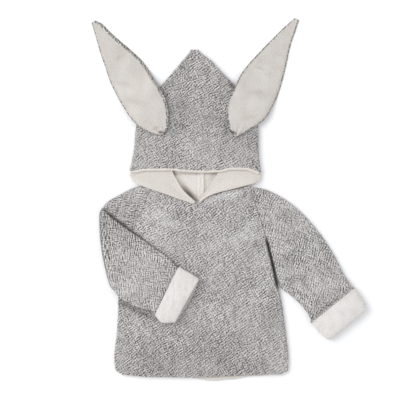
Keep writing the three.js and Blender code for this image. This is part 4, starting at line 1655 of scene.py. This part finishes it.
@dataclass
class Sleeve:
    """Raglan sleeve with its turned-back cuff."""

    side: Side
    rows: Table
    creases: Creases
    waves: Waves
    finishes: Finishes
    wales: float
    painted_light_marks: Creases
    lip: float
    stations: int = 150
    cuff_rows: int = 2
    cuff_stations: int = 34
    roll_steps: int = 12
    free_steps: int = 6
    cuff_swell: float = 2.3

    def relief(self, points: np.ndarray, way: np.ndarray) -> np.ndarray:
        """Height of the creases on faces that look up, and shallow troughs on those that look down.

        Args:
            points: points of the sleeve.
            way: the way out at each.

        Returns:
            The height out of the surface.
        """
        x, y = points[..., 0], points[..., 1]
        height = self.creases.at(x, y) + self.waves.at(x, y)
        up = smooth(0.3, 1, way[..., 2])
        down = smooth(0.3, 1, -way[..., 2])
        return height * up - np.clip(-height, 0, 0.8) * down

    def ends(self, place: np.ndarray) -> np.ndarray:
        """Share of the relief at a row place: none at the armhole and in the cuff.

        Args:
            place: row place.

        Returns:
            The share.
        """
        first = self.rows.last - self.cuff_rows
        return (smooth(0, 0.8, place) * (1 - smooth(first - 1.2, first - 0.2, place)))[:, None]

    def knit(self, place: np.ndarray, points: np.ndarray) -> np.ndarray:
        """Place on the cloth: each half of the sleeve as it lies flat, seen from outside.

        Args:
            place: row place of each ring.
            points: grid of the sleeve's points.

        Returns:
            A grid with one more column, where the ring closes.
        """
        _, flat, turns = Ring(self.rows).places()
        layer = np.where(flat == 0, np.where(np.sin(turns) > 0, 1, -1), flat)[None, :]
        turn = self.rows.at("turn", place)[:, None]
        x, y = FOLD.opened(points[..., 0], points[..., 1], turn, layer)
        lean = math.radians(self.wales - 90)
        across = (math.cos(lean) * x + math.sin(lean) * y) * layer
        grid = np.stack([across, math.cos(lean) * y - math.sin(lean) * x], axis=-1)
        return np.concatenate([grid, grid[:, :1]], axis=1)

    def sleeve(self) -> bpy.types.Object:
        """Makes the sleeve itself.

        Returns:
            The sleeve.
        """
        ring = Ring.of(self.rows)
        place = np.linspace(0, self.rows.last, self.stations + 1)
        outer, way = ring.points(place, 0)
        inner, _ = ring.points(place, -CLOTH)
        lift = way * (self.relief(outer, way) * self.ends(place))[..., None]
        knit = self.knit(place, outer)
        wall = Wall(f"sleeve_{self.side.value}_tube", outer + lift, inner + lift, knit, ring=True, soften=0.35)
        wall.painted_light_and_tone = self.paint_light_and_tone(place, outer, way)
        return wall.build([self.finishes.marl, self.finishes.cream, self.finishes.edge])

    def paint_light_and_tone(self, place: np.ndarray, points: np.ndarray, way: np.ndarray) -> np.ndarray:
        """Painted light and tone of the outer face: ridges painted lighter, and the sides that lie against the
        body painted in shade.

        Args:
            place: row place of each ring.
            points: points of the sleeve.
            way: the way out at each.

        Returns:
            The painted light and tone at each point.
        """
        turned = smooth(0, math.pi, self.rows.at("turn", place))[:, None]
        painted_light_and_tone = RELIEF_PAINTED_LIGHT * self.relief(points, way) * self.ends(place)
        painted_light_and_tone = painted_light_and_tone + self.painted_light_marks.at(points[..., 0], points[..., 1]) * (1 - turned)
        share, _, _ = Ring(self.rows).places()
        # Painted shade on faces that turn down: the left sleeve's inner side at the armpit, and the folded
        # forearm; the right sleeve also a little darker all over.
        low = smooth(0.85, 0.45, way[..., 2])
        if self.side is Side.LEFT:
            y = points[..., 1]
            return painted_light_and_tone - 0.97 * low * (share < 0.5)[None, :] * smooth(-176, -158, y) * smooth(-66, -84, y)
        return painted_light_and_tone - 0.5 * low * turned - 0.05

    def _cuff_profile(self) -> tuple[np.ndarray, np.ndarray, np.ndarray, np.ndarray]:
        """Way round the cuff's wall: up its outside, over the roll, down its lining and round its free edge.

        Returns:
            The row place, the distance out of the sleeve, the distance ahead of the mouth, and 1 on the wall's
            outside, falling to 0 on its lining.
        """
        last = self.rows.last
        first = last - self.cuff_rows
        gap, roll = CUFF_GAP, CUFF_GAP / 2 + CLOTH
        climb = np.linspace(first, last, self.cuff_stations)
        bend = np.linspace(0, math.pi, self.roll_steps + 1)[1:-1]
        inner_bend = np.linspace(math.pi, 0, 7)[1:-1]
        free_bend = np.linspace(0, math.pi, self.free_steps + 1)[1:-1]
        place = np.concatenate([climb, np.full(len(bend) + 2 + len(inner_bend), last), climb[::-1],
                                np.full(len(free_bend), first)])
        out = np.concatenate([np.full(len(climb), gap + CLOTH), gap / 2 + roll * np.cos(bend), [-CLOTH, 0],
                              gap / 2 + gap / 2 * np.cos(inner_bend), np.full(len(climb), gap),
                              gap + CLOTH / 2 * (1 - np.cos(free_bend))])
        ahead = np.concatenate([np.zeros(len(climb)), SEAM + roll * np.sin(bend), [SEAM, SEAM],
                                SEAM + gap / 2 * np.sin(inner_bend), np.zeros(len(climb)),
                                -CLOTH / 2 * np.sin(free_bend)])
        lining = len(place) - len(climb) - len(bend) - len(free_bend)
        outside = np.concatenate([np.ones(len(climb)), 1 - smooth(0, 1, np.linspace(0, 1, len(bend))),
                                  np.zeros(lining), smooth(0, 1, np.linspace(0, 1, len(free_bend)))])
        return place, out, ahead, outside

    def cuff(self) -> bpy.types.Object:
        """Makes the turned-back cuff, rolled over the sleeve's mouth.

        Returns:
            The cuff.
        """
        ring = Ring.of(self.rows)
        first = self.rows.last - self.cuff_rows
        place, out, ahead, outside = self._cuff_profile()
        points, way = ring.points(place, out)
        share = np.clip((place - first) / self.cuff_rows, 0, 1)
        across = 0.4 + 0.6 * (1 - (2 * ring.places()[0] - 1) ** 2)[None, :]
        swell = self.cuff_swell * np.sin(math.pi * np.clip(share * 0.86 + 0.14, 0, 1))[:, None] * across
        swell = swell + self.lip * np.exp(-((share / 0.07) ** 2))[:, None]
        up = smooth(-0.2, 0.6, way[..., 2])
        seed = 71 if self.side is Side.LEFT else 73
        wave = sum(Waves(seed + more, tall, long).at(points[..., 0], points[..., 1])
                   for more, tall, long in ((0, 0.45, 20), (1, 0.22, 6)))
        free = (1 - smooth(first, first + 0.8, place))[:, None]
        ahead = ahead[:, None] + free * ring.rounding(3.0)
        fullness = (swell + wave) * outside[:, None] * up
        points = points + ring.axis() * ahead[..., None] + way * fullness[..., None]
        closed = np.concatenate([points, points[:, :1]], axis=1)
        steps = np.linalg.norm(np.diff(closed, axis=1), axis=2)
        round_it = np.concatenate([np.zeros((len(points), 1)), np.cumsum(steps, axis=1)], axis=1)
        run = np.concatenate([[0], np.cumsum(np.linalg.norm(np.diff(points[:, 10], axis=0), axis=1))])
        run = np.concatenate([run, [run[-1] + CLOTH]])
        knit = np.stack(np.broadcast_arrays(np.concatenate([round_it, round_it[:1]]), run[:, None]), axis=-1)
        name = f"cuff_{self.side.value}_turned_back"
        wall = Wall(name, points, points, knit, ring=True, loop=True)
        # Painted light on the cuff: its swell painted lighter, its lower side and lining painted in shade, and
        # on the left cuff a dark line along the free edge, partly painted shadow and partly flecks.
        past_roll = (np.arange(len(place)) > self.cuff_stations + (self.roll_steps - 1) / 2)[:, None]
        wall.painted_light_and_tone = RELIEF_PAINTED_LIGHT * fullness - 0.12 * smooth(0.3, -0.3, way[..., 2]) - 0.12 * past_roll
        wall.painted_light_and_tone = wall.painted_light_and_tone - 2.6 * self.lip * RELIEF_PAINTED_LIGHT * (free > 0.9)
        made = wall.build([self.finishes.cuff, self.finishes.edge])
        columns = points.shape[1]
        numbers = np.zeros(len(made.data.polygons), dtype=int)
        numbers[-self.free_steps * columns:] = 1
        if self.lip:
            numbers[:2 * columns] = 1
        made.data.polygons.foreach_set("material_index", numbers)
        return made

    def build(self, flat: tuple[float, float], area: float, cuff_flat: tuple[float, float], held: str,
              rests_on: list[str]) -> None:
        """Makes and declares both pieces.

        Args:
            flat: width and length of the sleeve's cut, in metres. Not used.
            area: area of that cut. Not used.
            cuff_flat: the same of the cuff. Not used.
            held: how the sleeve lies. Not used.
            rests_on: what it lies on. Not used.
        """
        sleeve = self.sleeve()
        declare(sleeve, [f"sleeve_{self.side.value}"])
        cuff = self.cuff()
        declare(cuff, [f"cuff_{self.side.value}"])


# Ears

RIGHT_EAR = Table(
    "outer_x outer_y inner_x inner_y",
    (-134, 121.5, -122, 123.5),
    (-148, 125, -117, 133),
    (-162, 132.5, -115, 150),
    (-176, 141.5, -116.5, 171),
    (-190, 157.5, -123, 195),
    (-209, 188, -142.5, 227),
    (-226, 221.5, -163.5, 260),
    (-238, 257, -190.5, 286),
    (-246, 280, -209.5, 302),
    (-252.5, 303, -228, 319),
    (-258, 322, -242, 333),
    (-262, 335, -255, 339.5),
)
LEFT_EAR = Table(
    "outer_x outer_y inner_x inner_y",
    (15, 118, 8, 119.5),
    (26, 124.5, 1, 133),
    (40, 133.5, -3, 150),
    (54, 142, -4.5, 169),
    (67, 152, -1.5, 187),
    (79, 170.5, 8, 207),
    (91, 196, 19, 232),
    (100, 224, 36.5, 257),
    (108, 256, 60.5, 283),
    (115.5, 291, 86.5, 309.5),
    (124.5, 318, 106.5, 329),
    (131.5, 339.5, 124, 344),
)
EAR_PLEATS = Table(
    "side rise width reach",
    (0.3, 2.2, 0.12, 3.4),
    (0.62, 1.8, 0.1, 2.8),
)
FINE_PLEATS = Table(
    "side rise width reach",
    (0.14, -0.7, 0.05, 2.6),
    (0.45, -1.2, 0.05, 3.0),
    (0.74, -1.0, 0.045, 2.6),
    (0.88, -0.6, 0.05, 2.2),
)
# Painted shade on the ears: dimples at their bases and the hollows of their creases.
RIGHT_EAR_PAINTED_SHADE = Creases(
    (-136, 128, -123, 126, 2.4, -0.9),
    (-234, 226, -178, 214, 5, -0.14),
    (-212, 196, -150, 176, 6, -0.1),
    (-222, 262, -196, 276, 4, -0.12),
    (-150, 130, -128, 140, 3, -0.2),
)
LEFT_EAR_PAINTED_SHADE = Creases(
    (2, 130, 14, 123, 2.4, -0.9),
    (43, 254, 74, 243, 2.4, -0.3),
    (49, 242, 84, 235, 2.4, -0.12),
    (28, 199, 78, 207, 4, -0.12),
    (42, 213, 80, 190, 4, -0.1),
    (16, 150, 50, 158, 4, -0.14),
)


@dataclass
class Ear:
    """Long pointed ear: one layer of the knit, gathered where it is sewn to the hood."""

    side: Side
    rows: Table
    creases: Creases
    waves: Waves
    finishes: Finishes
    painted_light_marks: Creases
    outer_rim: float
    inner_rim: float
    stations: int = 130
    columns: int = 44
    drop: float = 70.0
    pleat_start: float = 0.2

    def rest(self, x: np.ndarray, y: np.ndarray) -> np.ndarray:
        """Height of what the ear lies on: the hood, and then down to the surface.

        Args:
            x: places across.
            y: places along.

        Returns:
            The heights.
        """
        level = HOOD_ROWS.column("y")
        place = np.interp(y, level, np.arange(len(level)))
        beyond = np.maximum(0, y - level[-1])
        beside = np.maximum(np.maximum(HOOD_ROWS.at("right", place) - x, x - HOOD_ROWS.at("left", place)), 0)
        return (HOOD_HEIGHT + REST) * (1 - smooth(0, self.drop, np.hypot(beside, beyond)))

    def build(self, flat: tuple[float, float], area: float) -> None:
        """Args:
            flat: width and length of its cut, in metres. Not used.
            area: area of that cut. Not used.
        """
        place = np.linspace(0, self.rows.last, self.stations + 1)[:, None]
        share = np.linspace(0, 1, self.columns + 1)[None, :]
        width = np.hypot(*[self.rows.at(f"outer_{a}", place) - self.rows.at(f"inner_{a}", place) for a in "xy"])
        first, last = self.outer_rim / width, self.inner_rim / width
        inside = np.clip((share - 1 / self.columns) / (1 - 2 / self.columns), 0, 1)
        share = np.where(share == 0, 0, np.where(share == 1, 1, mix(first, 1 - last, inside)))
        x, y = (mix(self.rows.at(f"outer_{a}", place), self.rows.at(f"inner_{a}", place), share) for a in "xy")
        low = self.rest(x, y)
        for table in (EAR_PLEATS, FINE_PLEATS):
            for side, rise, reach_width, reach in table.values:
                low = low + rise * np.exp(-(((share - side) / reach_width) ** 2)) * (
                    1 - smooth(self.pleat_start, reach, place))
        edge = np.minimum(smooth(0, 0.12, share), smooth(1, 0.88, share))
        fine = self.creases.at(x, y) + self.waves.at(x, y) + 0.9 * edge
        low = low + np.maximum(fine, 0) * edge
        top = low + EAR_CLOTH - 1.1 * (1 - np.minimum(smooth(0, 0.05, share), smooth(1, 0.95, share)))
        outer = np.stack([x, y, top], axis=-1)
        inner = np.stack([x, y, low], axis=-1)
        f = self.finishes
        wall = Wall(f"ear_{self.side.value}_cloth", outer, inner, self._knit(place, width, share), soften=0.5)
        # Painted light on the ear: ridges painted lighter, the valleys of the gathers at its base painted in
        # shade, the painted shade lines, the whole ear a little darker and its two rim columns darker still.
        valley = 1 - np.clip((low - self.rest(x, y)) / 2.2, 0, 1)
        gathered = (1 - smooth(0, 1.6, place)) * valley * 0.35
        wall.painted_light_and_tone = RELIEF_PAINTED_LIGHT * 1.3 * np.maximum(fine, 0) * edge - gathered + self.painted_light_marks.at(x, y) - 0.07
        wall.painted_light_and_tone[:, [0, -1]] -= 0.35
        piece = wall.build([f.ear, f.marl, f.edge], {0: 2, self.columns - 1: 2})
        declare(piece, [f"ear_{self.side.value}"])

    def _knit(self, place: np.ndarray, width: np.ndarray, share: np.ndarray) -> np.ndarray:
        """Place on the cloth: across the ear and along its middle.

        Args:
            place: row place.
            width: width of the ear there, in mm.
            share: share across the ear.

        Returns:
            The place of each point, in mm.
        """
        middle = np.stack([mix(self.rows.at(f"outer_{a}", place), self.rows.at(f"inner_{a}", place), 0.5)[:, 0]
                           for a in "xy"], axis=-1)
        run = np.concatenate([[0], np.cumsum(np.linalg.norm(np.diff(middle, axis=0), axis=1))])
        return np.stack(np.broadcast_arrays((share - 0.5) * width, run[:, None]), axis=-1)


# Studio


@dataclass
class Studio:
    """Pale floor, soft light from the wearer's right, and the camera straight above."""

    camera_height: float = 4.0
    view_width: float = 0.7904
    centre_x: float = -0.04085
    centre_y: float = -0.01653
    sensor: float = 36.0
    floor_size: float = 60.0
    key_power: float = 115.0
    key_size: float = 3.0
    key_from: tuple[float, float, float] = (-3.4, 1.3, 3.3)
    sky: float = 0.9

    def floor(self) -> None:
        """Lays the floor just under the cloth."""
        half = self.floor_size / 2
        mesh = bpy.data.meshes.new("floor")
        corners = [(-half, -half, 0), (half, -half, 0), (half, half, 0), (-half, half, 0)]
        mesh.from_pydata(corners, [], [(0, 1, 2, 3)])
        floor = bpy.data.objects.new("floor", mesh)
        floor.location.z = -0.0002
        bpy.context.scene.collection.objects.link(floor)
        g = Graph("pale_floor")
        shader = g.node("ShaderNodeBsdfDiffuse")
        g.put((0.93, 0.93, 0.935, 1), shader.inputs[0])
        end = g.node("ShaderNodeOutputMaterial")
        g.tree.links.new(shader.outputs[0], end.inputs[0])
        mesh.materials.append(g.material)

    def lights(self) -> None:
        """Hangs one large soft light and an even pale sky."""
        data = bpy.data.lights.new("key", "AREA")
        data.size = self.key_size
        data.energy = self.key_power
        key = bpy.data.objects.new("key", data)
        key.location = self.key_from
        aim = Vector((self.centre_x, self.centre_y, 0)) - key.location
        key.rotation_euler = aim.to_track_quat("-Z", "Y").to_euler()
        bpy.context.scene.collection.objects.link(key)
        world = bpy.data.worlds.new("pale_sky")
        world.use_nodes = True
        background = world.node_tree.nodes["Background"]
        background.inputs[0].default_value = (0.97, 0.98, 1.0, 1)
        background.inputs[1].default_value = self.sky
        bpy.context.scene.world = world
        bpy.context.scene.view_settings.view_transform = "Standard"

    def camera(self) -> None:
        """Puts the camera above the middle of the picture, with the hood upward."""
        data = bpy.data.cameras.new("camera")
        data.sensor_width = self.sensor
        data.lens = self.sensor * self.camera_height / self.view_width
        camera = bpy.data.objects.new("camera", data)
        camera.location = (self.centre_x, self.centre_y, self.camera_height)
        bpy.context.scene.collection.objects.link(camera)
        bpy.context.scene.camera = camera

    def build(self) -> None:
        """Sets up floor, lights and camera."""
        self.floor()
        self.lights()
        self.camera()


def main() -> None:
    """Builds the studio and the hoodie, piece by piece."""
    logging.basicConfig(level=logging.INFO, format="%(name)s %(message)s")
    Studio().build()
    finishes = Finishes.make()
    Body(finishes).build()
    HoodTrim(finishes).build(HoodShell(finishes).build())
    left = Sleeve(Side.LEFT, LEFT_SLEEVE, LEFT_SLEEVE_CREASES, Waves(61, 0.35, 40), finishes, 129,
                  LEFT_SLEEVE_PAINTED_SHADE, 1.1)
    left.build((0.24, 0.29), 0.06, (0.22, 0.056), "laid", [])
    right = Sleeve(Side.RIGHT, right_sleeve_rows(), RIGHT_SLEEVE_CREASES, Waves(62, 0.3, 40), finishes, 49.5,
                   RIGHT_SLEEVE_PAINTED_SHADE, 0, stations=190)
    right.build((0.24, 0.29), 0.06, (0.223, 0.05), "folded", ["front_panel"])
    ear_creases = Creases((-236, 230, -170, 205, 14, 0.8), (-215, 240, -180, 262, 12, 0.6))
    ear = Ear(Side.RIGHT, RIGHT_EAR, ear_creases, Waves(81, 0.3, 36), finishes, RIGHT_EAR_PAINTED_SHADE, 2.2, 5.8)
    ear.build((0.08, 0.28), 0.0138)
    ear_creases = Creases((42, 251, 78, 241, 10, 1.4), (30, 212, 80, 216, 14, 0.9), (34, 186, 70, 182, 12, 0.7))
    ear = Ear(Side.LEFT, LEFT_EAR, ear_creases, Waves(82, 0.3, 36), finishes, LEFT_EAR_PAINTED_SHADE, 2.6, 2.6)
    ear.build((0.08, 0.26), 0.0132)


if __name__ == "__main__":
    main()
